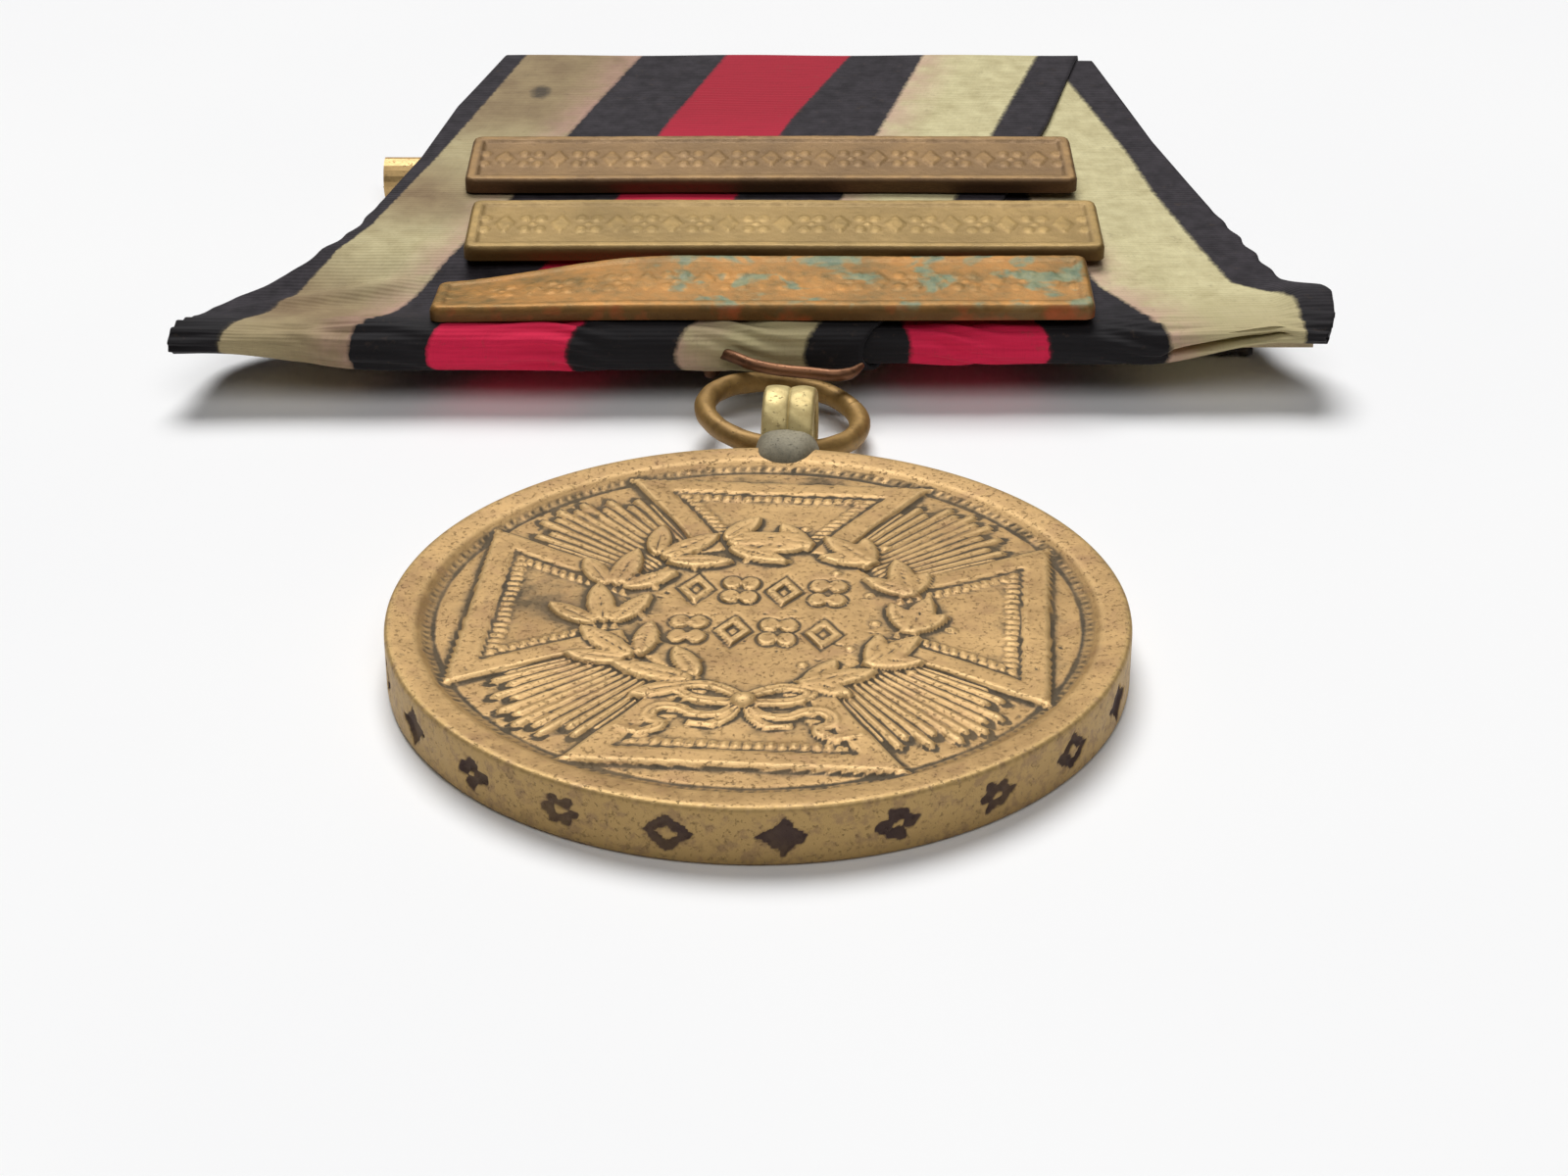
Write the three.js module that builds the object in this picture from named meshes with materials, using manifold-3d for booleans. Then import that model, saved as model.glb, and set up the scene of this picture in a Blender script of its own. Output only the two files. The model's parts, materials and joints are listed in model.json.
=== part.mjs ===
// A campaign medal on a folded ribbon: a struck disc hangs from a wire ring, the ring hangs in a bent wire
// hook under the hem of a striped ribbon mount, three bar clasps ride on the ribbon, and a sewn-on brooch
// pins the mount to clothing. It lies on its back: +Z is up, the disc is toward -Y, the mount toward +Y.
// Millimetres throughout. Pieces are placed about the disc's centre, and the whole is recentred at the end.

import * as THREE from 'three';
import { mergeVertices } from 'three/addons/utils/BufferGeometryUtils.js';
import Module from 'manifold-3d';

const wasm = await Module();
wasm.setup();

// ---------------------------------------------------------------- driving dimensions

const disc = {
  radius: 14.5, thickness: 2.42, rimWidth: 1.2, edgeChamfer: 0.18, frontRecess: 0.36, backRecess: 0.25,
};
const cross = { cornerGap: 0.16, armEnd: 13.07, armRoot: 5.2, relief: 0.22 };
const wreath = { innerRadius: 4.4, outerRadius: 8.0, relief: 0.3 };
const pendantTurn = THREE.MathUtils.degToRad(-4.3);   // the disc hangs a little askew under the mount

const eyelet = { slack: 1.88, wall: 0.58, length: 2.4, rimGap: 0.3, floorGap: 0.1, ribs: 2, ribHeight: 0.07 };
const ring = {
  wire: 0.96, meanRadius: 3.5, sideOffset: 0.93, boreOffset: 0.55, boreDrop: 0.65,
  roll: THREE.MathUtils.degToRad(7),
};
const solder = { spread: 3.3, reach: 2.1, height: 1.5, gap: 0.15 };

const hem = { ringGap: 0.32, underside: 1.5 };
const ribbon = {
  cloth: 0.4, mountLength: 35.2, hemOverhang: 0.5, slitNear: 11, slitFar: 17,
  hemLeft: -27.6, hemRight: 26.9, shoulder: 6.6, shoulderLeft: -21.8, shoulderRight: 24.4,
  topLeft: -14.2, topRight: 17.9,
};
const card = { thickness: 0.6, inset: 1.3, aboveGap: 0.55, belowGap: 0.35 };
const sag = { start: -4, width: 11.5, depth: 1.0, reach: 7.6 };   // the crushed corner of the mount

const clasp = {
  length: 30.6, width: 5.6, thickness: 0.75, border: 0.55, pocket: 0.25, seatGap: 0.15,
};
const claspSeats = [
  { name: 'clasp_upper', middle: 0.35, near: 15.0 },
  { name: 'clasp_middle', middle: 1.0, near: 7.0 },
  { name: 'clasp_lower', middle: 0.0, near: 0.6 },
];
const prong = { width: 1.2, thickness: 0.3, foot: 1.4, footThickness: 0.22, spacing: 14, gap: 0.16 };

const backing = {
  thickness: 0.4, gap: 0.25, nearEnd: 5.2, flatTo: 9.5, riseTo: 16.5, farInset: 2.2, sideInset: 1.6,
  floorGap: 0.06,
};
const brooch = {
  belowTop: 8.7, width: 4, thickness: 0.4, gap: 0.25, left: -17.8, right: 17.6, endRound: 1.2,
  floorGap: 0.085,
};
const lug = { radius: 0.62, thickness: 0.45, spacing: 1.5, fromEnd: 2.0, stitchGap: 0.16 };
const rivet = { radius: 0.22, headRadius: 0.45, head: 0.25, play: 0.1 };
const needle = { radius: 0.32, eyeRadius: 0.6, eyeWidth: 0.9, pastCatch: 0.2, point: 3.5, lift: 0.1 };
const rollCatch = { outer: 1.15, wall: 0.38, length: 2.4, slitPlay: 0.2, gap: 0.2, lift: 0.42 };
const stitch = { thread: 0.22, gap: 0.1, count: 4, spacing: 9 };
const hook = { wire: 0.56, clothGap: 0.12 };

// ---------------------------------------------------------------- materials

const finish = (color, roughness, metalness) => (
  new THREE.MeshStandardMaterial({ color, roughness, metalness })
);
const bronze = finish(0xa98a5a, 0.48, 0.9);
const ringBrass = finish(0xa8823f, 0.4, 0.9);
const paleBrass = finish(0xcdb67c, 0.35, 0.9);
const leadSolder = finish(0x8b8c83, 0.55, 0.7);
const copperWire = finish(0x7d5440, 0.5, 0.8);
const darkBronzeBar = finish(0x8c7650, 0.5, 0.9);
const oliveBar = finish(0xa39357, 0.45, 0.9);
const giltBar = finish(0xc79a55, 0.4, 0.9);
const ribbonSilk = finish(0x8f3a48, 0.85, 0);
const cardBoard = finish(0xb9a98a, 0.9, 0);
const backingCotton = finish(0x4a4644, 0.9, 0);
const broochBrass = finish(0xb08e58, 0.45, 0.9);
const needleSteel = finish(0x9c9a92, 0.35, 0.95);
const waxedThread = finish(0x2c2a2b, 0.85, 0);

// ---------------------------------------------------------------- shape helpers

const toSolid = (geometry) => {
  const bare = geometry.clone();
  bare.deleteAttribute('normal');
  bare.deleteAttribute('uv');
  const merged = mergeVertices(bare, 1e-4);
  return new wasm.Manifold(new wasm.Mesh({
    numProp: 3,
    vertProperties: new Float32Array(merged.attributes.position.array),
    triVerts: new Uint32Array(merged.index.array),
  }));
};

const toGeometry = (solid) => {
  const mesh = solid.getMesh();
  const geometry = new THREE.BufferGeometry();
  geometry.setAttribute('position', new THREE.BufferAttribute(new Float32Array(mesh.vertProperties), 3));
  geometry.setIndex(new THREE.BufferAttribute(new Uint32Array(mesh.triVerts), 1));
  geometry.computeVertexNormals();
  return geometry;
};

const joined = (first, ...rest) => (
  toGeometry(rest.reduce((sum, one) => sum.add(toSolid(one)), toSolid(first)))
);
const cut = (first, ...rest) => (
  toGeometry(rest.reduce((sum, one) => sum.subtract(toSolid(one)), toSolid(first)))
);
const common = (first, second) => toGeometry(toSolid(first).intersect(toSolid(second)));

const piece = (name, geometry, material) => {
  const mesh = new THREE.Mesh(geometry, material);
  mesh.name = name;
  return mesh;
};

// A box given by its low corner and its size, with extra cuts along X where it has to bend.
const box = ([x, y, z], [sizeX, sizeY, sizeZ], stepsX = 1, stepsY = 1) => new THREE.BoxGeometry(
  sizeX, sizeY, sizeZ, stepsX, stepsY, 1,
).translate(x + sizeX / 2, y + sizeY / 2, z + sizeZ / 2);

// Extrudes a (y, z) outline along X.
const alongX = (shape, from, length, steps = 1, curveSegments = 12) => {
  const geometry = new THREE.ExtrudeGeometry(shape, {
    depth: length, steps, bevelEnabled: false, curveSegments,
  });
  const axes = new THREE.Matrix4().makeBasis(
    new THREE.Vector3(0, 1, 0), new THREE.Vector3(0, 0, 1), new THREE.Vector3(1, 0, 0),
  );
  return geometry.applyMatrix4(axes).translate(from, 0, 0);
};

// Extrudes an (x, z) outline along Y, from the given y toward +Y.
const alongY = (shape, from, length, curveSegments = 16) => {
  const geometry = new THREE.ExtrudeGeometry(shape, { depth: length, bevelEnabled: false, curveSegments });
  const axes = new THREE.Matrix4().makeBasis(
    new THREE.Vector3(1, 0, 0), new THREE.Vector3(0, 0, 1), new THREE.Vector3(0, -1, 0),
  );
  return geometry.applyMatrix4(axes).translate(0, from + length, 0);
};

// Extrudes an (x, y) outline upward.
const upward = (shape, from, height, curveSegments = 12) => new THREE.ExtrudeGeometry(
  shape, { depth: height, bevelEnabled: false, curveSegments },
).translate(0, 0, from);

const outline = (points) => new THREE.Shape(points.map(([u, v]) => new THREE.Vector2(u, v)));

const circle = (radius, u = 0, v = 0) => new THREE.Shape().absarc(u, v, radius, 0, Math.PI * 2);

// A round wire along a smooth path.
const wire = (points, diameter, steps, sides = 10) => {
  const path = new THREE.CatmullRomCurve3(points.map((p) => new THREE.Vector3(...p)), false, 'centripetal');
  return new THREE.ExtrudeGeometry(circle(diameter / 2), {
    steps, extrudePath: path, bevelEnabled: false, curveSegments: sides,
  });
};

// A strip of even thickness that follows a path, as a closed outline.
const bandOutline = (path, thickness) => {
  const left = [];
  const right = [];
  path.forEach((point, i) => {
    const before = path[Math.max(i - 1, 0)];
    const after = path[Math.min(i + 1, path.length - 1)];
    const along = new THREE.Vector2(after[0] - before[0], after[1] - before[1]).normalize();
    left.push([point[0] - along.y * thickness / 2, point[1] + along.x * thickness / 2]);
    right.unshift([point[0] + along.y * thickness / 2, point[1] - along.x * thickness / 2]);
  });
  return outline([...left, ...right]);
};

const smoothStep = (t) => {
  const c = Math.min(Math.max(t, 0), 1);
  return c * c * (3 - 2 * c);
};

// ---------------------------------------------------------------- pendant: disc, eyelet and solder

const discBody = () => {
  const { radius: R, thickness: T, rimWidth, edgeChamfer: c } = disc;
  const inner = R - rimWidth;
  const field = T - disc.frontRecess;
  const profile = [
    [0, disc.backRecess], [inner - 0.2, disc.backRecess], [inner, 0], [R - c, 0], [R, c], [R, T - c],
    [R - c, T], [inner, T], [inner - 0.25, field], [0, field],
  ].map(([r, z]) => new THREE.Vector2(r, z));
  return new THREE.LatheGeometry(profile, 80).rotateX(Math.PI / 2);
};

// One arm of the cross, widening outward along +Y with hollowed sides, its corners just inside the rim.
const crossArm = (quarter) => {
  const { cornerGap, armEnd, armRoot } = cross;
  const armReach = Math.sqrt((disc.radius - disc.rimWidth - cornerGap) ** 2 - (armEnd / 2) ** 2);
  const shape = new THREE.Shape();
  shape.moveTo(-armRoot / 2, 0);
  shape.lineTo(armRoot / 2, 0);
  shape.lineTo(armRoot / 2, armReach * 0.3);
  shape.quadraticCurveTo(armRoot / 2 + 0.5, armReach * 0.72, armEnd / 2, armReach);
  shape.lineTo(-armEnd / 2, armReach);
  shape.quadraticCurveTo(-armRoot / 2 - 0.5, armReach * 0.72, -armRoot / 2, armReach * 0.3);
  const field = disc.thickness - disc.frontRecess;
  return upward(shape, field - 0.4, 0.4 + cross.relief, 5).rotateZ(quarter * Math.PI / 2);
};

const wreathBand = () => {
  const { innerRadius: a, outerRadius: b, relief } = wreath;
  const field = disc.thickness - disc.frontRecess;
  const profile = [
    [a, field - 0.4], [b, field - 0.4], [b, field + relief * 0.4], [(a + b) / 2 + 0.8, field + relief],
    [(a + b) / 2 - 0.8, field + relief], [a, field + relief * 0.4], [a, field - 0.4],
  ].map(([r, z]) => new THREE.Vector2(r, z));
  return new THREE.LatheGeometry(profile, 40).rotateX(Math.PI / 2);
};

// Lathing about +Y and turning it upright can leave the faces inward, so the sense is set by the volume.
const facingOut = (geometry) => {
  const g = geometry.index ? geometry.toNonIndexed() : geometry;
  const p = g.attributes.position;
  const [a, b, c] = [new THREE.Vector3(), new THREE.Vector3(), new THREE.Vector3()];
  let volume = 0;
  for (let i = 0; i < p.count; i += 3) {
    b.fromBufferAttribute(p, i + 1).cross(c.fromBufferAttribute(p, i + 2));
    volume += a.fromBufferAttribute(p, i).dot(b);
  }
  if (volume < 0) {
    for (let i = 0; i < p.count; i += 3) {
      a.fromBufferAttribute(p, i + 1);
      b.fromBufferAttribute(p, i + 2);
      p.setXYZ(i + 1, b.x, b.y, b.z);
      p.setXYZ(i + 2, a.x, a.y, a.z);
    }
  }
  return g;
};

const eyeletBore = ring.wire + eyelet.slack;
const eyeletOuter = eyeletBore / 2 + eyelet.wall;
const eyeletCentre = { y: disc.radius + eyelet.rimGap + eyeletOuter, z: eyeletOuter + eyelet.floorGap };

const medalDisc = () => {
  const arms = [0, 1, 2, 3].map(crossArm);
  return joined(facingOut(discBody()), ...arms, facingOut(wreathBand()));
};

const suspensionEyelet = () => {
  const half = eyelet.length / 2;
  const pitch = eyelet.length / eyelet.ribs;
  const outer = [[-half, 0]];
  for (let i = 0; i < eyelet.ribs; i += 1) {
    const start = -half + i * pitch;
    outer.push([start, eyeletOuter - eyelet.ribHeight], [start + pitch / 2, eyeletOuter]);
  }
  outer.push([half, eyeletOuter - eyelet.ribHeight], [half, 0]);
  const tube = facingOut(new THREE.LatheGeometry(outer.map(([x, r]) => new THREE.Vector2(r, x)), 32));
  const bore = new THREE.CylinderGeometry(eyeletBore / 2, eyeletBore / 2, eyelet.length * 2, 32);
  return cut(tube, bore).rotateZ(Math.PI / 2).translate(0, eyeletCentre.y, eyeletCentre.z);
};

// A flattened drop of solder that bridges the disc's rim and the tube, hollowed to fit round both.
const solderCollar = () => {
  const { spread, reach, height, gap } = solder;
  const drop = new THREE.SphereGeometry(1, 24, 12).scale(spread / 2, reach, height)
    .translate(0, disc.radius + eyelet.rimGap / 2, disc.thickness * 0.72);
  const roomRadius = disc.radius + gap;
  const discRoom = new THREE.CylinderGeometry(roomRadius, roomRadius, disc.thickness + 2 * gap, 128)
    .rotateX(Math.PI / 2).translate(0, 0, disc.thickness / 2);
  const tubeRoom = new THREE.CylinderGeometry(eyeletOuter + gap, eyeletOuter + gap, spread * 2, 32)
    .rotateZ(Math.PI / 2).translate(0, eyeletCentre.y, eyeletCentre.z);
  const belowFace = box([-spread, disc.radius - reach * 2, -height], [spread * 2, reach * 4, height + 0.7]);
  const pastTube = box([-spread, eyeletCentre.y - eyeletOuter * 0.55, -1], [spread * 2, 6, 8]);
  return cut(drop, discRoom, tubeRoom, belowFace, pastTube);
};

// ---------------------------------------------------------------- ring and hook

const pendantBore = new THREE.Vector3(0, eyeletCentre.y, eyeletCentre.z)
  .applyAxisAngle(new THREE.Vector3(0, 0, 1), pendantTurn);
const ringCentre = new THREE.Vector3(
  ring.sideOffset, pendantBore.y - ring.boreOffset + ring.meanRadius, pendantBore.z - ring.boreDrop,
);

const suspensionRing = () => new THREE.TorusGeometry(ring.meanRadius, ring.wire / 2, 10, 48)
  .rotateY(ring.roll).translate(ringCentre.x, ringCentre.y, ringCentre.z);

// The hook is one bent wire: its pointed end lies over the ring's far side, it goes through the rolled hem at
// its left, loops under the ribbon and comes back under the ring, up inside it.
const hookWire = (diameter) => {
  const far = ringCentre.y + ring.meanRadius;
  const over = ringCentre.z + ring.wire / 2 + hook.wire / 2;
  const under = ringCentre.z - ring.wire / 2 - hook.wire / 2;
  const x = ringCentre.x;
  return wire([
    [x + 3.65, far - 0.25, over + 0.25], [x + 3.1, far - 0.85, over + 0.12],
    [x + 2.4, far - 1.15, over + 0.15], [x + 1.2, far - 1.0, over + 0.2],
    [x - 0.3, far - 0.85, over + 0.3], [x - 1.4, far - 0.6, over + 0.45],
    [x - 2.2, far + 0.05, over + 0.5], [x - 2.9, far + 0.85, over + 0.35],
    [x - 3.3, far + 1.3, over - 0.15], [x - 3.4, far + 1.6, over - 0.9],
    [x - 3.2, far + 2.4, under + 0.3], [x - 2.6, far + 4.4, under + 0.36],
    [x - 1.2, far + 5.5, under + 0.36], [x + 0.2, far + 4.0, under + 0.2],
    [x + 0.2, far + 1.5, under - 0.17], [x + 0.1, far - 0.4, under - 0.15],
    [x + 0.1, far - 1.35, under + 0.15], [x + 0.1, far - 1.7, under + 0.85],
  ], diameter, 64, 3);
};

const wireHook = () => hookWire(hook.wire);

// ---------------------------------------------------------------- mount: ribbon, card, backing
// These are laid out flat, with x across, y from the hem upward and z above the ribbon's top face.

const sleeveDepth = 2 * ribbon.cloth + card.thickness + card.aboveGap + card.belowGap;
const mountEnd = ribbon.mountLength - ribbon.hemOverhang;
const hemY = ringCentre.y + ring.meanRadius + ring.wire / 2 + hem.ringGap;
const hemTop = hem.underside + sleeveDepth;
const broochSeat = mountEnd - brooch.belowTop;

// The mount leans on its hem and on the brooch behind it, so the brooch's depth sets how far it rises.
const axleDrop = stitch.gap + stitch.thread + lug.stitchGap + needle.radius;
const broochDepth = sleeveDepth + backing.gap + backing.thickness + brooch.gap + brooch.thickness
  + axleDrop + lug.radius;
const mountRise = Math.atan2(broochDepth, broochSeat)
  - Math.asin((hemTop - brooch.floorGap) / Math.hypot(broochDepth, broochSeat));

// The crushed corner drops by this much: nothing right of the sag's start and nothing above its reach.
const cornerDrop = (x, y) => {
  const across = smoothStep((sag.start - x) / sag.width);
  const along = Math.sin(Math.PI * Math.min(Math.max(y / sag.reach, 0), 1)) ** 2;
  return sag.depth * across * along;
};

const crushed = (geometry) => {
  const p = geometry.attributes.position;
  for (let i = 0; i < p.count; i += 1) {
    p.setZ(i, p.getZ(i) - cornerDrop(p.getX(i), p.getY(i)));
  }
  geometry.computeVertexNormals();
  return geometry;
};

// The mount's outline from above, drawn in by an inset on every side.
const mountOutline = (inset = 0, near = -5, far = mountEnd + 5) => {
  const edge = (low, high, y) => {
    const t = (y - ribbon.shoulder) / (mountEnd - ribbon.shoulder);
    return low + (high - low) * t;
  };
  return outline([
    [ribbon.hemLeft + inset, near], [ribbon.hemRight - inset, near],
    [ribbon.hemRight - inset, 1.0], [ribbon.shoulderRight - inset, ribbon.shoulder],
    [edge(ribbon.shoulderRight, ribbon.topRight, far) - inset, far],
    [edge(ribbon.shoulderLeft, ribbon.topLeft, far) + inset, far],
    [ribbon.shoulderLeft + inset, ribbon.shoulder], [ribbon.hemLeft + inset, 1.0],
  ]);
};

const halfTurn = (y, z, radius, from) => Array.from({ length: 9 }, (_, i) => {
  const a = from - Math.PI * i / 8;
  return [y + radius * Math.cos(a), z + radius * Math.sin(a)];
});

const evenly = (from, to, count) => (
  Array.from({ length: count }, (_, i) => from + (to - from) * i / (count - 1))
);

// The ribbon is a flat sleeve: over the card, round the top fold and round the hem, open along the back.
const ribbonSleeve = () => {
  const middle = -sleeveDepth / 2;
  const turn = (sleeveDepth - ribbon.cloth) / 2;
  const nearTurn = -ribbon.hemOverhang + sleeveDepth / 2;
  const farTurn = mountEnd - sleeveDepth / 2;
  const bottom = middle - turn;
  const top = middle + turn;
  const path = [
    ...evenly(ribbon.slitNear, nearTurn + 0.6, 6).map((y) => [y, bottom]),
    ...halfTurn(nearTurn, middle, turn, -Math.PI / 2),
    ...evenly(nearTurn + 0.6, farTurn - 0.6, 34).map((y) => [y, top]),
    ...halfTurn(farTurn, middle, turn, Math.PI / 2),
    ...evenly(farTurn - 0.6, ribbon.slitFar, 3).map((y) => [y, bottom]),
  ];
  const width = ribbon.hemRight - ribbon.hemLeft + 2;
  const sheet = alongX(bandOutline(path, ribbon.cloth), ribbon.hemLeft - 1, width, 14);
  return common(crushed(sheet), upward(mountOutline(), -10, 20));
};

const slottedRibbon = () => {
  const slots = claspSeats.flatMap((seat) => prongCentres(seat).map(([x, y]) => box(
    [x - prong.width / 2 - prong.gap, y - prong.thickness / 2 - prong.gap, -ribbon.cloth - 0.2],
    [prong.width + 2 * prong.gap, prong.thickness + 2 * prong.gap, ribbon.cloth + 0.4],
  )));
  const hookRoom = hookWire(hook.wire + 2 * hook.clothGap)
    .translate(0, -hemY, -hemTop).rotateX(-mountRise);
  return cut(ribbonSleeve(), ...slots, hookRoom);
};

const stiffenerCard = () => {
  const top = -ribbon.cloth - card.aboveGap;
  const near = -ribbon.hemOverhang + ribbon.cloth + card.inset;
  const far = mountEnd - ribbon.cloth - card.inset;
  const width = ribbon.hemRight - ribbon.hemLeft;
  const corner = [ribbon.hemLeft, near, top - card.thickness];
  const plate = box(corner, [width, far - near, card.thickness], 14, 12);
  return common(crushed(plate), upward(mountOutline(card.inset), -10, 20));
};

// Backing cloth: its near end lies on the table, then it rises to run close under the ribbon.
const backingCloth = () => {
  const tableDrop = (y) => -(hemTop + y * Math.sin(mountRise)) / Math.cos(mountRise);
  const lying = (y) => tableDrop(y) + backing.floorGap + backing.thickness / 2;
  const under = -sleeveDepth - backing.gap - backing.thickness / 2;
  const far = mountEnd - backing.farInset;
  const path = evenly(backing.nearEnd, far, 16).map((y) => {
    const t = smoothStep((y - backing.flatTo) / (backing.riseTo - backing.flatTo));
    return [y, lying(y) * (1 - t) + under * t];
  });
  const sheet = alongX(bandOutline(path, backing.thickness), -30, 60, 1);
  const trimmed = common(sheet, upward(mountOutline(backing.sideInset), -10, 20));
  const slots = stitchCentres().flatMap((x) => [-1, 1].map((side) => box(
    [x - stitch.thread / 2 - stitch.gap, stitchLeg(side) - stitch.thread / 2 - stitch.gap, under - 0.4],
    [stitch.thread + 2 * stitch.gap, stitch.thread + 2 * stitch.gap, 0.8],
  )));
  return cut(trimmed, ...slots);
};

// ---------------------------------------------------------------- clasps and their prongs

const claspBar = (seat) => {
  const { length, width, thickness, border, pocket, seatGap } = clasp;
  const low = [seat.middle - length / 2, seat.near, seatGap];
  const bar = box(low, [length, width, thickness], 16, 4);
  const recess = box(
    [low[0] + border, low[1] + border, seatGap + thickness - pocket],
    [length - 2 * border, width - 2 * border, pocket + 1], 16, 4,
  );
  return cut(crushed(bar), crushed(recess));
};

function prongCentres(seat) {
  return [-1, 1].map((side) => [seat.middle + side * prong.spacing / 2, seat.near + clasp.width / 2]);
}

const claspProng = ([x, y]) => {
  const top = clasp.seatGap - prong.gap;
  const footTop = -ribbon.cloth - prong.gap;
  const leg = box(
    [x - prong.width / 2, y - prong.thickness / 2, footTop - prong.footThickness],
    [prong.width, prong.thickness, top - footTop + prong.footThickness],
  );
  const foot = box(
    [x - prong.width / 2, y - prong.thickness / 2, footTop - prong.footThickness],
    [prong.width, prong.foot, prong.footThickness],
  );
  return joined(crushed(leg), crushed(foot));
};

// ---------------------------------------------------------------- brooch on the back

const plateTop = -sleeveDepth - backing.gap - backing.thickness - brooch.gap;
const plateBottom = plateTop - brooch.thickness;
const axleHeight = plateBottom - axleDrop;
const axleX = brooch.right - lug.fromEnd;
const catchStart = brooch.left - rollCatch.gap - rollCatch.length;
const needleTip = catchStart - needle.pastCatch;

function stitchCentres() {
  return evenly(-1, 1, stitch.count).map((t) => t * stitch.spacing * (stitch.count - 1) / 2);
}

function stitchLeg(side) {
  return broochSeat + side * (brooch.width / 2 + stitch.gap + stitch.thread / 2);
}

const broochPlate = () => {
  const { width, left, right, endRound } = brooch;
  const near = broochSeat - width / 2;
  const far = broochSeat + width / 2;
  const shape = outline([
    [left + endRound, near], [right - endRound, near], [right, near + endRound], [right, far - endRound],
    [right - endRound, far], [left + endRound, far], [left, far - endRound], [left, near + endRound],
  ]);
  const plate = upward(shape, plateBottom, brooch.thickness);
  const lugs = [-1, 1].map((side) => {
    const ear = new THREE.Shape();
    ear.moveTo(axleX + lug.radius, plateBottom + brooch.thickness / 2);
    ear.lineTo(axleX - lug.radius, plateBottom + brooch.thickness / 2);
    ear.lineTo(axleX - lug.radius, axleHeight);
    ear.absarc(axleX, axleHeight, lug.radius, Math.PI, Math.PI * 2);
    return alongY(ear, broochSeat + side * lug.spacing / 2 - lug.thickness / 2, lug.thickness, 10);
  });
  const eyeWindow = box(
    [axleX - needle.eyeRadius - 0.25, broochSeat - needle.eyeWidth / 2 - 0.15, plateBottom - 1],
    [2 * needle.eyeRadius + 0.5, needle.eyeWidth + 0.3, brooch.thickness + 2],
  );
  const hole = new THREE.CylinderGeometry(rivet.radius + rivet.play, rivet.radius + rivet.play, width * 2, 16)
    .translate(axleX, broochSeat, axleHeight);
  return cut(joined(plate, ...lugs), eyeWindow, hole);
};

const lugOutside = lug.spacing / 2 + lug.thickness / 2;

const hingeRivet = () => {
  const reach = lugOutside + rivet.play;
  const profile = [
    [0, -reach - rivet.head], [rivet.headRadius, -reach - rivet.head], [rivet.headRadius, -reach],
    [rivet.radius, -reach], [rivet.radius, reach], [rivet.headRadius, reach],
    [rivet.headRadius, reach + rivet.head], [0, reach + rivet.head],
  ].map(([r, y]) => new THREE.Vector2(r, y));
  return facingOut(new THREE.LatheGeometry(profile, 16)).translate(axleX, broochSeat, axleHeight);
};

const broochNeedle = () => {
  const root = axleX - needle.eyeRadius * 0.75;
  const tipHeight = axleHeight + needle.lift;
  const slope = Math.atan2(tipHeight - axleHeight, root - needleTip);
  const shaftLength = root - needleTip - needle.point;
  const profile = [
    [0, 0], [needle.radius, 0], [needle.radius, shaftLength],
    [needle.radius * 0.15, shaftLength + needle.point],
    [0, shaftLength + needle.point],
  ].map(([r, y]) => new THREE.Vector2(r, y));
  const shaft = facingOut(new THREE.LatheGeometry(profile, 12))
    .rotateZ(Math.PI / 2 - slope).translate(root, broochSeat, axleHeight);
  const eyeCircle = circle(needle.eyeRadius, axleX, axleHeight);
  const eye = alongY(eyeCircle, broochSeat - needle.eyeWidth / 2, needle.eyeWidth);
  const bore = new THREE.CylinderGeometry(rivet.radius + rivet.play, rivet.radius + rivet.play, 4, 16)
    .translate(axleX, broochSeat, axleHeight);
  return cut(joined(eye, shaft), bore);
};

// A rolled catch: a short tube round the needle's tip, with a slit facing down for the needle.
const broochCatch = () => {
  const { outer, wall, length, slitPlay } = rollCatch;
  const slit = 2 * (needle.radius + slitPlay);
  const centre = axleHeight + needle.lift + rollCatch.lift;
  const tube = alongX(circle(outer, broochSeat, centre), catchStart, length, 1, 12);
  const bore = alongX(circle(outer - wall, broochSeat, centre), catchStart - 1, length + 2, 1, 10);
  const corner = [catchStart - 1, broochSeat - slit / 2, centre - outer * 2];
  const mouth = box(corner, [length + 2, slit, outer * 2]);
  return cut(tube, bore, mouth);
};

// A stitch crosses under the plate, and its two legs go up into the backing cloth.
const plateStitch = (x) => {
  const low = plateBottom - stitch.gap - stitch.thread;
  const high = plateTop + brooch.gap + backing.thickness * 0.6;
  const near = stitchLeg(-1) - stitch.thread / 2;
  const far = stitchLeg(1) + stitch.thread / 2;
  const shape = outline([
    [near, low], [far, low], [far, high], [far - stitch.thread, high],
    [far - stitch.thread, low + stitch.thread],
    [near + stitch.thread, low + stitch.thread], [near + stitch.thread, high], [near, high],
  ]);
  return alongX(shape, x - stitch.thread / 2, stitch.thread);
};

// ---------------------------------------------------------------- assembly

const medal = new THREE.Group();

const pendant = new THREE.Group();
pendant.rotation.z = pendantTurn;
pendant.add(
  piece('medal_disc', medalDisc(), bronze),
  piece('suspension_eyelet', suspensionEyelet(), paleBrass),
  piece('solder_collar', solderCollar(), leadSolder),
);

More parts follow.
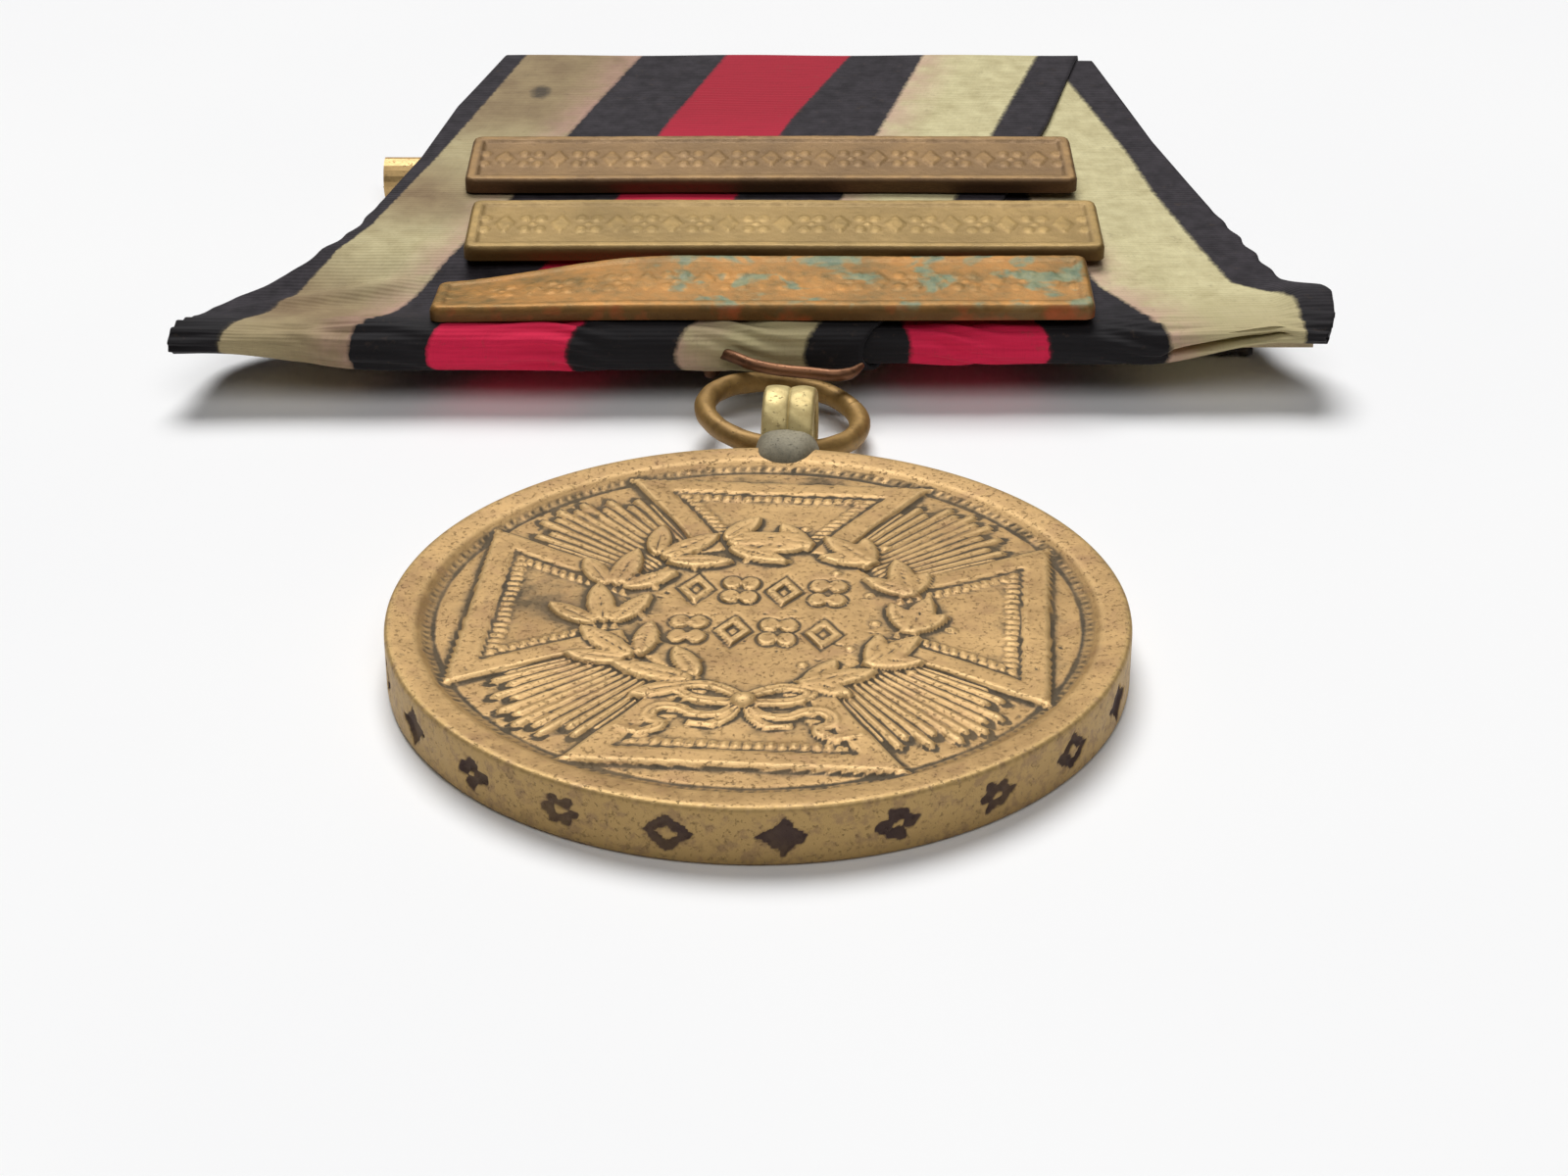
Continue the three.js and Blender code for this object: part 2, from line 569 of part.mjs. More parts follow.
const mount = new THREE.Group();
mount.position.set(0, hemY, hemTop);
mount.rotation.x = mountRise;
mount.add(
  piece('ribbon', slottedRibbon(), ribbonSilk),
  piece('stiffener_card', stiffenerCard(), cardBoard),
  piece('backing_cloth', backingCloth(), backingCotton),
);
const claspMetals = [darkBronzeBar, oliveBar, giltBar];
claspSeats.forEach((seat, i) => {
  mount.add(piece(seat.name, claspBar(seat), claspMetals[i]));
  prongCentres(seat).forEach((centre, side) => {
    const name = `${seat.name}_prong_${side === 0 ? 'left' : 'right'}`;
    mount.add(piece(name, claspProng(centre), claspMetals[i]));
  });
});
mount.add(
  piece('brooch_plate', broochPlate(), broochBrass),
  piece('hinge_rivet', hingeRivet(), broochBrass),
  piece('brooch_needle', broochNeedle(), needleSteel),
  piece('brooch_catch', broochCatch(), broochBrass),
);
stitchCentres().forEach((x, i) => {
  mount.add(piece(`brooch_stitch_${i + 1}`, plateStitch(x), waxedThread));
});

medal.add(
  pendant,
  piece('suspension_ring', suspensionRing(), ringBrass),
  piece('wire_hook', wireHook(), copperWire),
  mount,
);

// The origin is the middle of the underside of the whole object's box.
medal.updateMatrixWorld(true);
const bounds = new THREE.Box3().setFromObject(medal, true);
const middle = bounds.getCenter(new THREE.Vector3());
medal.position.set(-middle.x, -middle.y, -bounds.min.z);

export default medal;
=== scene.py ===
# A campaign medal lying on a pale table, seen from the front and a little above.
# Every length below is in millimetres unless it ends in _m; the model itself is in metres.
import json
import math

import bpy
import numpy as np
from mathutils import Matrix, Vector


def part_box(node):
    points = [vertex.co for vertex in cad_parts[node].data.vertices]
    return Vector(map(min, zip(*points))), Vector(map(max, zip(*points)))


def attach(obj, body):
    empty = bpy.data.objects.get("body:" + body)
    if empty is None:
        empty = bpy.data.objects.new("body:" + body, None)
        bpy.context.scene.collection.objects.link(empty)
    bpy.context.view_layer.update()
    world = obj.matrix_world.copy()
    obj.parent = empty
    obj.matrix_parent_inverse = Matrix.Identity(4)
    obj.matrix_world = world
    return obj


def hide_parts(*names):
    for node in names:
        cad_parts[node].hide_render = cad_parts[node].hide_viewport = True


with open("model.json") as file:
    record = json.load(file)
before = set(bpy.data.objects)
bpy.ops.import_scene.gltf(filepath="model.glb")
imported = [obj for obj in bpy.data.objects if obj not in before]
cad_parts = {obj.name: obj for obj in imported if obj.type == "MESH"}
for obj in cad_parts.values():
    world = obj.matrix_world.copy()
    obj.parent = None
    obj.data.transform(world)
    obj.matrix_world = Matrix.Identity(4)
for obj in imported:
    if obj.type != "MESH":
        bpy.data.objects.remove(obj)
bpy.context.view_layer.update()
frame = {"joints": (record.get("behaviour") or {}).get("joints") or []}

MM = 0.001

# ---------------------------------------------------------------- places taken from the frame


def box_mm(node):
    lo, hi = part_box(node)
    return np.array(lo) / MM, np.array(hi) / MM


disc_lo, disc_hi = box_mm("medal_disc")
OX, OY = (disc_lo[0] + disc_hi[0]) / 2, (disc_lo[1] + disc_hi[1]) / 2   # the disc's centre
DISC_R = (disc_hi[1] - disc_lo[1]) / 2
DISC_T = disc_hi[2] - disc_lo[2]
ring_lo, ring_hi = box_mm("suspension_ring")
RING = (ring_lo + ring_hi) / 2
eye_lo, eye_hi = box_mm("suspension_eyelet")
EYE = (eye_lo + eye_hi) / 2

joints = {joint["name"]: joint for joint in frame["joints"]}

# ---------------------------------------------------------------- camera

camera_data = bpy.data.cameras.new("camera")
camera = bpy.data.objects.new("camera", camera_data)
bpy.context.scene.collection.objects.link(camera)
eye_at = Vector((OX + 1.0, OY - 102.62, 58.74)) * MM
looks_at = Vector((OX + 0.997, OY + 6.103, 0)) * MM
camera.location = eye_at
camera.rotation_euler = (looks_at - eye_at).to_track_quat("-Z", "Y").to_euler()
camera_data.sensor_width = 36
camera_data.lens = 69.04
camera_data.clip_start = 0.005
camera_data.clip_end = 20
bpy.context.scene.camera = camera

# ---------------------------------------------------------------- mesh helpers


def smooth(t):
    t = np.clip(t, 0.0, 1.0)
    return t * t * (3 - 2 * t)


def grid_faces(rows, cols, wrap=False, start=0, flip=False, closed=False):
    """Quads over rows of points; wrap joins each row's ends, closed joins the last row to the first."""
    r = np.arange(rows if closed else rows - 1)[:, None]
    c = np.arange(cols if wrap else cols - 1)[None, :]
    n = (c + 1) % cols
    further = (r + 1) % rows * cols
    a, b = r * cols + c, r * cols + n
    d, e = further + c, further + n
    quads = np.stack([a, d, e, b] if flip else [a, b, e, d], axis=-1).reshape(-1, 4)
    return (quads + start).tolist()


def backward(faces):
    return [face[::-1] for face in faces]


def fan(centre, first, count):
    """Triangles from a centre point to a round row that starts at the given point."""
    return [[centre, first + j, first + (j + 1) % count] for j in range(count)]


def add_mesh(name, points, faces, uv=None, values=None, sharp=None):
    mesh = bpy.data.meshes.new(name)
    mesh.from_pydata((np.asarray(points, float) * MM).tolist(), [], faces)
    mesh.polygons.foreach_set("use_smooth", [True] * len(mesh.polygons))
    if uv is not None:
        layer = mesh.uv_layers.new(name="UVMap")
        index = np.empty(len(mesh.loops), dtype=np.int32)
        mesh.loops.foreach_get("vertex_index", index)
        layer.data.foreach_set("uv", np.asarray(uv, float)[index].ravel())
    for key, data in (values or {}).items():
        mark = mesh.attributes.new(key, "FLOAT", "POINT")
        mark.data.foreach_set("value", np.asarray(data, float).ravel())
    mesh.update()
    if sharp is not None:
        mesh.set_sharp_from_angle(angle=math.radians(sharp))
    thing = bpy.data.objects.new(name, mesh)
    bpy.context.scene.collection.objects.link(thing)
    return thing


def seat(thing, body, material, node):
    thing.data.materials.append(material)
    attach(thing, body)
    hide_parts(node)


def thickened(thing, thickness):
    """Gives a sheet its cloth thickness, on the side away from its face."""
    wall = thing.modifiers.new("cloth", "SOLIDIFY")
    wall.thickness = thickness * MM
    wall.offset = -1
    return wall


def turned(points, angle, centre):
    p = np.asarray(points, float).copy()
    c, s = math.cos(angle), math.sin(angle)
    x, y = p[:, 0].copy(), p[:, 1].copy()
    p[:, 0] = centre[0] + c * x - s * y
    p[:, 1] = centre[1] + s * x + c * y
    return p


def catmull(points, count):
    """Points on a centripetal Catmull-Rom curve through the given ones, as many on each span."""
    p = np.asarray(points, float)
    p = np.vstack([2 * p[0] - p[1], p, 2 * p[-1] - p[-2]])
    out = []
    spans = len(p) - 3
    for u in np.linspace(0, spans - 1e-9, count):
        i = int(u)
        p0, p1, p2, p3 = p[i:i + 4]
        t0 = 0.0
        t1 = t0 + max(np.linalg.norm(p1 - p0), 1e-9) ** 0.5
        t2 = t1 + max(np.linalg.norm(p2 - p1), 1e-9) ** 0.5
        t3 = t2 + max(np.linalg.norm(p3 - p2), 1e-9) ** 0.5
        t = t1 + (u - i) * (t2 - t1)
        a1 = (t1 - t) / (t1 - t0) * p0 + (t - t0) / (t1 - t0) * p1
        a2 = (t2 - t) / (t2 - t1) * p1 + (t - t1) / (t2 - t1) * p2
        a3 = (t3 - t) / (t3 - t2) * p2 + (t - t2) / (t3 - t2) * p3
        b1 = (t2 - t) / (t2 - t0) * a1 + (t - t0) / (t2 - t0) * a2
        b2 = (t3 - t) / (t3 - t1) * a2 + (t - t1) / (t3 - t1) * a3
        out.append((t2 - t) / (t2 - t1) * b1 + (t - t1) / (t2 - t1) * b2)
    return np.array(out)


def tube(name, path, radius, sides=20):
    """A closed round wire along a path; radius is a number or one number a point."""
    path = np.asarray(path, float)
    radius = np.broadcast_to(np.asarray(radius, float), (len(path),))
    along = np.gradient(path, axis=0)
    along /= np.linalg.norm(along, axis=1)[:, None]
    side = np.cross(along[0], [0.0, 0.0, 1.0])
    if np.linalg.norm(side) < 1e-3:
        side = np.cross(along[0], [0.0, 1.0, 0.0])
    side /= np.linalg.norm(side)
    angle = np.linspace(0, 2 * math.pi, sides, endpoint=False)
    rows, length, uv = [], 0.0, []
    for i, (p, t) in enumerate(zip(path, along)):
        side = side - t * np.dot(side, t)
        side /= np.linalg.norm(side)
        up = np.cross(t, side)
        rows.append(p + radius[i] * (np.cos(angle)[:, None] * side + np.sin(angle)[:, None] * up))
        length += np.linalg.norm(path[i] - path[i - 1]) if i else 0.0
        uv += [(a / (2 * math.pi), length) for a in angle]
    points = np.vstack(rows + [path[:1], path[-1:]])
    uv += [(0, 0), (0, length)]
    first, last = len(points) - 2, len(points) - 1
    faces = grid_faces(len(path), sides, wrap=True, flip=True) + fan(first, 0, sides)
    faces += [[last, b, a] for _, a, b in fan(last, (len(path) - 1) * sides, sides)]
    return add_mesh(name, points, faces, uv=uv, sharp=50)


# ---------------------------------------------------------------- material helpers


BLACK, WHITE = (0, 0, 0), (1, 1, 1)
HAIR = 0.002


class Paint:
    """A short way to write a node material on one Principled shader."""

    def __init__(self, name):
        self.material = bpy.data.materials.new(name)
        self.material.use_nodes = True
        self.tree = self.material.node_tree
        self.tree.nodes.clear()
        self.output = self.tree.nodes.new("ShaderNodeOutputMaterial")
        self.shader = self.tree.nodes.new("ShaderNodeBsdfPrincipled")
        self.tree.links.new(self.shader.outputs[0], self.output.inputs[0])
        coords = self.tree.nodes.new("ShaderNodeTexCoord")
        scaled = self.tree.nodes.new("ShaderNodeVectorMath")
        scaled.operation = "SCALE"
        scaled.inputs["Scale"].default_value = 1000.0
        self.tree.links.new(coords.outputs["Object"], scaled.inputs[0])
        self.place = scaled.outputs[0]
        self.uv = coords.outputs["UV"]

    def put(self, socket, value):
        if isinstance(value, bpy.types.NodeSocket):
            self.tree.links.new(value, socket)
        elif isinstance(value, (tuple, list)) and len(value) == 3 and socket.type == "RGBA":
            socket.default_value = (*value, 1.0)
        else:
            socket.default_value = value

    def set(self, **values):
        for key, value in values.items():
            self.put(self.shader.inputs[key.replace("_", " ")], value)

    def attribute(self, name):
        node = self.tree.nodes.new("ShaderNodeAttribute")
        node.attribute_name = name
        return node.outputs["Fac"]

    def stretch(self, vector, scale):
        node = self.tree.nodes.new("ShaderNodeVectorMath")
        node.operation = "MULTIPLY"
        self.put(node.inputs[0], vector)
        node.inputs[1].default_value = scale
        return node.outputs[0]

    def noise(self, scale, detail=3.0, roughness=0.55, vector=None, distortion=0.0):
        node = self.tree.nodes.new("ShaderNodeTexNoise")
        self.put(node.inputs["Vector"], vector or self.place)
        node.inputs["Scale"].default_value = scale
        node.inputs["Detail"].default_value = detail
        node.inputs["Roughness"].default_value = roughness
        node.inputs["Distortion"].default_value = distortion
        return node.outputs["Fac"]

    def math(self, operation, a, b=0.0):
        node = self.tree.nodes.new("ShaderNodeMath")
        node.operation = operation
        self.put(node.inputs[0], a)
        self.put(node.inputs[1], b)
        return node.outputs[0]

    def times(self, a, b):
        return self.math("MULTIPLY", a, b)

    def plus(self, a, b):
        return self.math("ADD", a, b)

    def minus(self, a, b):
        return self.math("SUBTRACT", a, b)

    def halves(self, a, b):
        """The mean of two patterns."""
        return self.plus(self.times(a, 0.5), self.times(b, 0.5))

    def span(self, value, low, high, to_low=0.0, to_high=1.0):
        node = self.tree.nodes.new("ShaderNodeMapRange")
        node.clamp = True
        for key, v in (("Value", value), ("From Min", low), ("From Max", high), ("To Min", to_low),
                       ("To Max", to_high)):
            self.put(node.inputs[key], v)
        return node.outputs[0]

    def mix(self, factor, a, b, blend="MIX"):
        node = self.tree.nodes.new("ShaderNodeMix")
        node.data_type = "RGBA"
        node.blend_type = blend
        self.put(node.inputs["Factor"], factor)
        self.put(node.inputs[6], a)
        self.put(node.inputs[7], b)
        return node.outputs[2]

    def ramp(self, value, stops):
        node = self.tree.nodes.new("ShaderNodeValToRGB")
        elements = node.color_ramp.elements
        while len(elements) > 1:
            elements.remove(elements[-1])
        elements[0].position, elements[0].color = stops[0][0], (*stops[0][1], 1)
        for at, colour in stops[1:]:
            elements.new(at).color = (*colour, 1)
        self.put(node.inputs[0], value)
        return node.outputs[0]

    def split(self, vector):
        node = self.tree.nodes.new("ShaderNodeSeparateXYZ")
        self.put(node.inputs[0], vector)
        return node.outputs

    def steps(self, value, lit):
        """White between each pair of places and black outside them, with a hairline of blending."""
        stops = [(0.0, BLACK)]
        for low, high in lit:
            stops += [(low - HAIR, BLACK), (low + HAIR, WHITE), (high - HAIR, WHITE), (high + HAIR, BLACK)]
        return self.ramp(value, stops)

    def bump(self, height, distance, strength):
        node = self.tree.nodes.new("ShaderNodeBump")
        node.inputs["Strength"].default_value = strength
        node.inputs["Distance"].default_value = distance * MM
        self.put(node.inputs["Height"], height)
        self.put(self.shader.inputs["Normal"], node.outputs[0])


def srgb(*channels):
    def one(c):
        c /= 255.0
        return c / 12.92 if c <= 0.04045 else ((c + 0.055) / 1.055) ** 2.4
    return tuple(one(c) for c in channels)


def aged_metal(name, bright, body, dark, rough, pits=0.02, metallic=0.6, scale=1.0):
    """Worn metal: a mottled body colour, brighter rubbed spots and dark pits."""
    p = Paint(name)
    broad = p.noise(0.33 * scale, 4, 0.6)
    fine = p.noise(2.4 * scale, 5, 0.65)
    grain = p.noise(11.0 * scale, 3, 0.6)
    tone = p.plus(p.times(broad, 0.55), p.times(fine, 0.45))
    colour = p.mix(p.span(tone, 0.34, 0.62), body, bright)
    specks = p.span(p.noise(5.2 * scale, 4, 0.7), 0.60, 0.70)
    colour = p.mix(p.times(specks, 0.55), colour, dark)
    p.set(Base_Color=colour, Metallic=metallic, Roughness=p.span(fine, 0.3, 0.7, *rough))
    unpitted = p.minus(1.0, specks)
    p.bump(p.plus(p.times(grain, 0.35), p.times(unpitted, 0.65)), pits, 0.8)
    return p.material


# ---------------------------------------------------------------- the struck disc

TURN = math.radians(-4.3)        # the pendant hangs a little askew
FIELD = DISC_T - 0.36            # the sunk field of the face
RIM_IN, RIM_OUT = 12.75, 13.45   # where the rim rises out of the field
LINE_AT = 12.7                   # a fine line parts the field from the rim's foot
CELLS = 780                      # the face is a height map of this many cells each way
axis = np.linspace(-DISC_R - 0.1, DISC_R + 0.1, CELLS)
PITCH = axis[1] - axis[0]
U, V = np.meshgrid(axis, axis)
RR, TH = np.hypot(U, V), np.arctan2(V, U)


def bell(distance, width):
    return np.exp(-(distance / width) ** 2)


def blurred(field, sigma):
    down = np.fft.fftfreq(field.shape[0], PITCH)
    across = np.fft.rfftfreq(field.shape[1], PITCH)
    kernel = np.exp(-2 * (math.pi * sigma) ** 2 * (down[:, None] ** 2 + across[None, :] ** 2))
    return np.fft.irfft2(np.fft.rfft2(field) * kernel, s=field.shape)


def grain_map(sigma, seed):
    grain = blurred(np.random.default_rng(seed).standard_normal((CELLS, CELLS)), sigma)
    return grain / grain.std()


def window(x, y, reach):
    """The patch of the height map within reach of a point."""
    i0, i1 = np.searchsorted(axis, [x - reach, x + reach])
    j0, j1 = np.searchsorted(axis, [y - reach, y + reach])
    return slice(j0, j1), slice(i0, i1)


def raise_to(zone, inside, level):
    """Lifts the face to the level wherever the shape's own measure is above zero."""
    height[zone] = np.maximum(height[zone], np.where(inside > 0, level, -1))


height = np.zeros_like(U)

# Cross with arms that widen outward: a smooth border, a milled line inside it, a sunk field.
ARM_END = 11.4
A, B = np.maximum(abs(U), abs(V)), np.minimum(abs(U), abs(V))
arm_half = 2.6 + 3.9 * np.clip((A - 4.0) / (ARM_END - 4.0), 0, 1.3) ** 1.22
to_side, to_end = (arm_half - B) * 0.87, ARM_END - A
inside = np.minimum(to_side, to_end)
along_edge = np.where(to_side < to_end, A / 0.87, np.where(abs(V) > abs(U), U, V))
tooth = 0.5 + 0.5 * np.cos(2 * math.pi * along_edge / 0.42)
cross_level = 0.19 * smooth(inside / 0.12)
cross_level -= 0.085 * smooth((inside - 1.05) / 0.12)
milled = smooth((inside - 1.28) / 0.08) * smooth((1.84 - inside) / 0.12)
cross_level += milled * (0.01 + 0.07 * tooth)
height = np.where(inside > 0, cross_level, height)

# Rays between the arms, stepped at their outer ends.
RAY_PITCH = math.radians(2.62)
RAY_ENDS = [10.7, 11.3, 10.9, 11.8, 11.3, 12.2, 11.9, 12.35, 11.8, 12.1, 11.1, 11.4, 10.6]
quarter = np.mod(TH, math.pi / 2) - math.pi / 4
number = np.round(quarter / RAY_PITCH)
across = quarter / RAY_PITCH - number
which = np.clip(number + 6, 0, 12).astype(int)
reach = np.array(RAY_ENDS)[which] - 0.35 * (2 * across) ** 2
ray = 0.02 + 0.13 * np.clip(1 - (2.3 * across) ** 2, 0, 1) ** 0.4
ray *= smooth((reach - RR) / 0.12) * smooth((RR - 5.5) / 0.5)
ray_pits = bell(RR - reach - 0.16, 0.17) * (abs(number) < 6.5) * (inside < -0.1)
between = smooth((-inside - 0.03) / 0.08)
height = np.where(inside < 0, np.maximum(height, ray * between), height)

# A plain round ground in the middle, at the level of the cross.
GROUND = 0.11
height = np.where(RR < 5.4, GROUND, height)

# Wreath: clusters of three leaves with berries, rising from the bow on both sides.


def leaf(x, y, angle, length, width, base):
    zone = window(x, y, length + 0.3)
    c, s = math.cos(angle), math.sin(angle)
    dx, dy = U[zone] - x, V[zone] - y
    t = (dx * c + dy * s) / length
    n = -dx * s + dy * c
    tt = np.clip(t, 1e-4, 1 - 1e-4)
    half_width = width * 2.02 * tt ** 0.62 * (1 - tt) ** 0.72
    edge = np.minimum(half_width - abs(n), np.minimum(t, 1 - t) * length * 0.8)
    crown = np.clip(1 - (n / np.maximum(half_width, 1e-3)) ** 2, 0, 1)
    vein = bell(n, 0.05) * smooth((0.8 - t) / 0.25)
    rise = 0.10 + 0.05 * crown ** 0.6 - 0.05 * vein
    raise_to(zone, edge, base - 0.07 + rise * smooth(edge / 0.07))


def berry(x, y, radius, base):
    zone = window(x, y, radius + 0.1)
    d = np.hypot(U[zone] - x, V[zone] - y)
    raise_to(zone, radius - d, base + 0.5 * np.sqrt(np.clip(radius ** 2 - d ** 2, 0, 1)))


# A cluster's leaves: angle off the stem, length, width, shift along the radius and lift.
LEAVES = ((-0.72, 2.65, 0.66, -0.34, 0.0), (0.74, 2.5, 0.66, 0.34, 0.01), (0.02, 3.25, 0.74, 0.0, 0.03))
loose = np.random.default_rng(11)
for side in (-1, 1):
    for k in range(6):
        sweep = math.radians(-70 + 28.5 * k)
        stem = 6.1 - 0.1 * abs(k - 2.5)
        around = math.pi / 2 - side * (math.pi / 2 - sweep)
        x, y = stem * math.cos(around), stem * math.sin(around)
        heading = around + side * math.pi / 2
        jitter = loose.uniform(-0.12, 0.12, 6)
        base = 0.20 + 0.006 * k
        for n, (spread, size, width, push, lift) in enumerate(LEAVES):
            leaf(x - push * math.cos(around) * side, y - push * math.sin(around) * side,
                 heading - side * spread + jitter[n] * 0.6, size * (1 + jitter[n + 3] * 0.5),
                 width, base + lift)
        for out in (-1.45, 1.5):
            spot = around + side * 0.12
            berry((stem + out) * math.cos(spot), (stem + out) * math.sin(spot), 0.22, 0.09)


def stroke(points, width, base, rise, taper=0.0):
    """A rounded raised band along a polyline."""
    pts = catmull(points, 6 * len(points))
    cx, cy = pts[:, 0].mean(), pts[:, 1].mean()
    zone = window(cx, cy, np.hypot(pts[:, 0] - cx, pts[:, 1] - cy).max() + width + 0.2)
    x, y = U[zone], V[zone]
    best = np.full(x.shape, 9.0)
    for i, (p, q) in enumerate(zip(pts[:-1], pts[1:])):
        d = q - p
        t = np.clip(((x - p[0]) * d[0] + (y - p[1]) * d[1]) / max(d @ d, 1e-9), 0, 1)
        half = width / 2 * (1 - taper * abs(2 * i / len(pts) - 1))
        best = np.minimum(best, np.hypot(x - p[0] - t * d[0], y - p[1] - t * d[1]) / half)
    raise_to(zone, 1 - best, base + rise * smooth((1 - best) / 0.3) - 0.04 * bell(best, 0.3))


# Bow under the wreath: two loops, two curled tails, two short ends and a knot.
LOOP = np.array([(0, -6.75), (0.6, -6.15), (1.6, -5.75), (2.5, -6.1), (1.9, -6.75), (0.6, -6.95)])
TAIL = np.array([(0.15, -7.0), (0.8, -7.75), (1.7, -7.85), (2.4, -7.4), (3.1, -7.45), (3.4, -8.1),
                 (2.9, -8.75), (3.6, -9.2), (4.4, -8.9)])
SHORT_END = np.array([(0.1, -7.0), (0.4, -7.9), (1.1, -8.5), (1.8, -8.4)])
for side in (-1, 1):
    mirror = (side, 1)
    stroke(LOOP * mirror, 0.56, 0.18, 0.09)
    stroke(TAIL * mirror, 0.62, 0.15, 0.09, 0.35)
    stroke(SHORT_END * mirror, 0.5, 0.14, 0.08, 0.4)
berry(0, -6.85, 0.5, 0.2)

# Two rows of plain ornament in the middle: quatrefoils and lozenges in turn.
for row, cy in enumerate((1.85, -1.45)):
    for k in range(4):
        cx = (k - 1.5) * 1.74
        zone = window(cx, cy, 1.5)
        dx, dy = U[zone] - cx, V[zone] - cy
        if (k + row) % 2:
            to_petal = np.hypot(abs(dx) - 0.36, (abs(dy) - 0.56) * 0.78)
            edge = np.where(np.hypot(dx, dy) < 0.2, -0.1, 0.40 - to_petal)
        else:
            rhomb = abs(dx) / 0.74 + abs(dy) / 1.2
            edge = np.minimum(1 - rhomb, rhomb - 0.42) * 0.55
        height[zone] -= 0.05 * bell(np.minimum(edge, 0), 0.12) * (edge < 0)
        raise_to(zone, edge, GROUND + 0.07 * smooth(edge / 0.06))

# Grain of a worn striking, with scattered pits.
soft = grain_map(0.45, 2)
pits = np.clip(grain_map(0.075, 3) - 1.75, 0, 1.2)
scarred = np.clip(0.5 + 0.6 * grain_map(1.6, 4), 0.1, 1.3)
height += 0.006 * soft - 0.04 * pits * scarred - 0.03 * ray_pits


def rim_level(r):
    rise = (DISC_T - FIELD - 0.07) * smooth((r - RIM_IN) / (RIM_OUT - RIM_IN))
    slope = 0.07 * smooth((r - RIM_OUT + 0.2) / 1.1)
    return rise + slope - 0.12 * np.clip((r - (DISC_R - 0.16)) / 0.16, 0, 1) ** 2


worn_rim = smooth((RR - RIM_IN) / 0.3)
height = height * (1 - worn_rim) + worn_rim * (0.005 * soft - 0.018 * pits) + rim_level(RR)
line = bell(RR - 12.6, 0.08)
dentils = bell(RR - 12.86, 0.1) * (0.5 + 0.5 * np.cos(190 * TH))
height += 0.035 * (dentils - line)

# How deep each spot lies under its surroundings, wide and close: dirt stays there and rubbing misses it.
wide, close = blurred(height, 0.34), blurred(height, 0.1)
hollow = np.clip((wide - height) * 9.0, -1, 1) * 0.5 + np.clip((close - height) * 30.0, -1, 1) * 0.55
# More dirt over the upper rays, in the field of the left arm and at the top of the rim's foot.
for cx, cy, spread, amount in ((-6.4, 6.6, 2.4, 0.30), (-8.9, 0.6, 1.7, 0.34), (7.4, 6.8, 2.2, 0.16),
                               (0.5, 11.9, 2.5, 0.2)):
    patch = bell(np.hypot(U - cx, V - cy), spread) * np.clip(0.9 + 0.8 * scarred * soft, 0, 2)
    hollow += amount * patch * (RR < LINE_AT)
hollow += 0.28 * ray_pits * (RR < LINE_AT)


def sample(field, x, y):
    fx, fy = (x - axis[0]) / PITCH, (y - axis[0]) / PITCH
    ix = np.clip(fx.astype(int), 0, CELLS - 2)
    iy = np.clip(fy.astype(int), 0, CELLS - 2)
    ax, ay = fx - ix, fy - iy
    return ((field[iy, ix] * (1 - ax) + field[iy, ix + 1] * ax) * (1 - ay)
            + (field[iy + 1, ix] * (1 - ax) + field[iy + 1, ix + 1] * ax) * ay)


MARKS = 22          # ornaments round the edge, four kinds in turn
BACK_SUNK = 0.24    # the back's field lies this far inside its rim


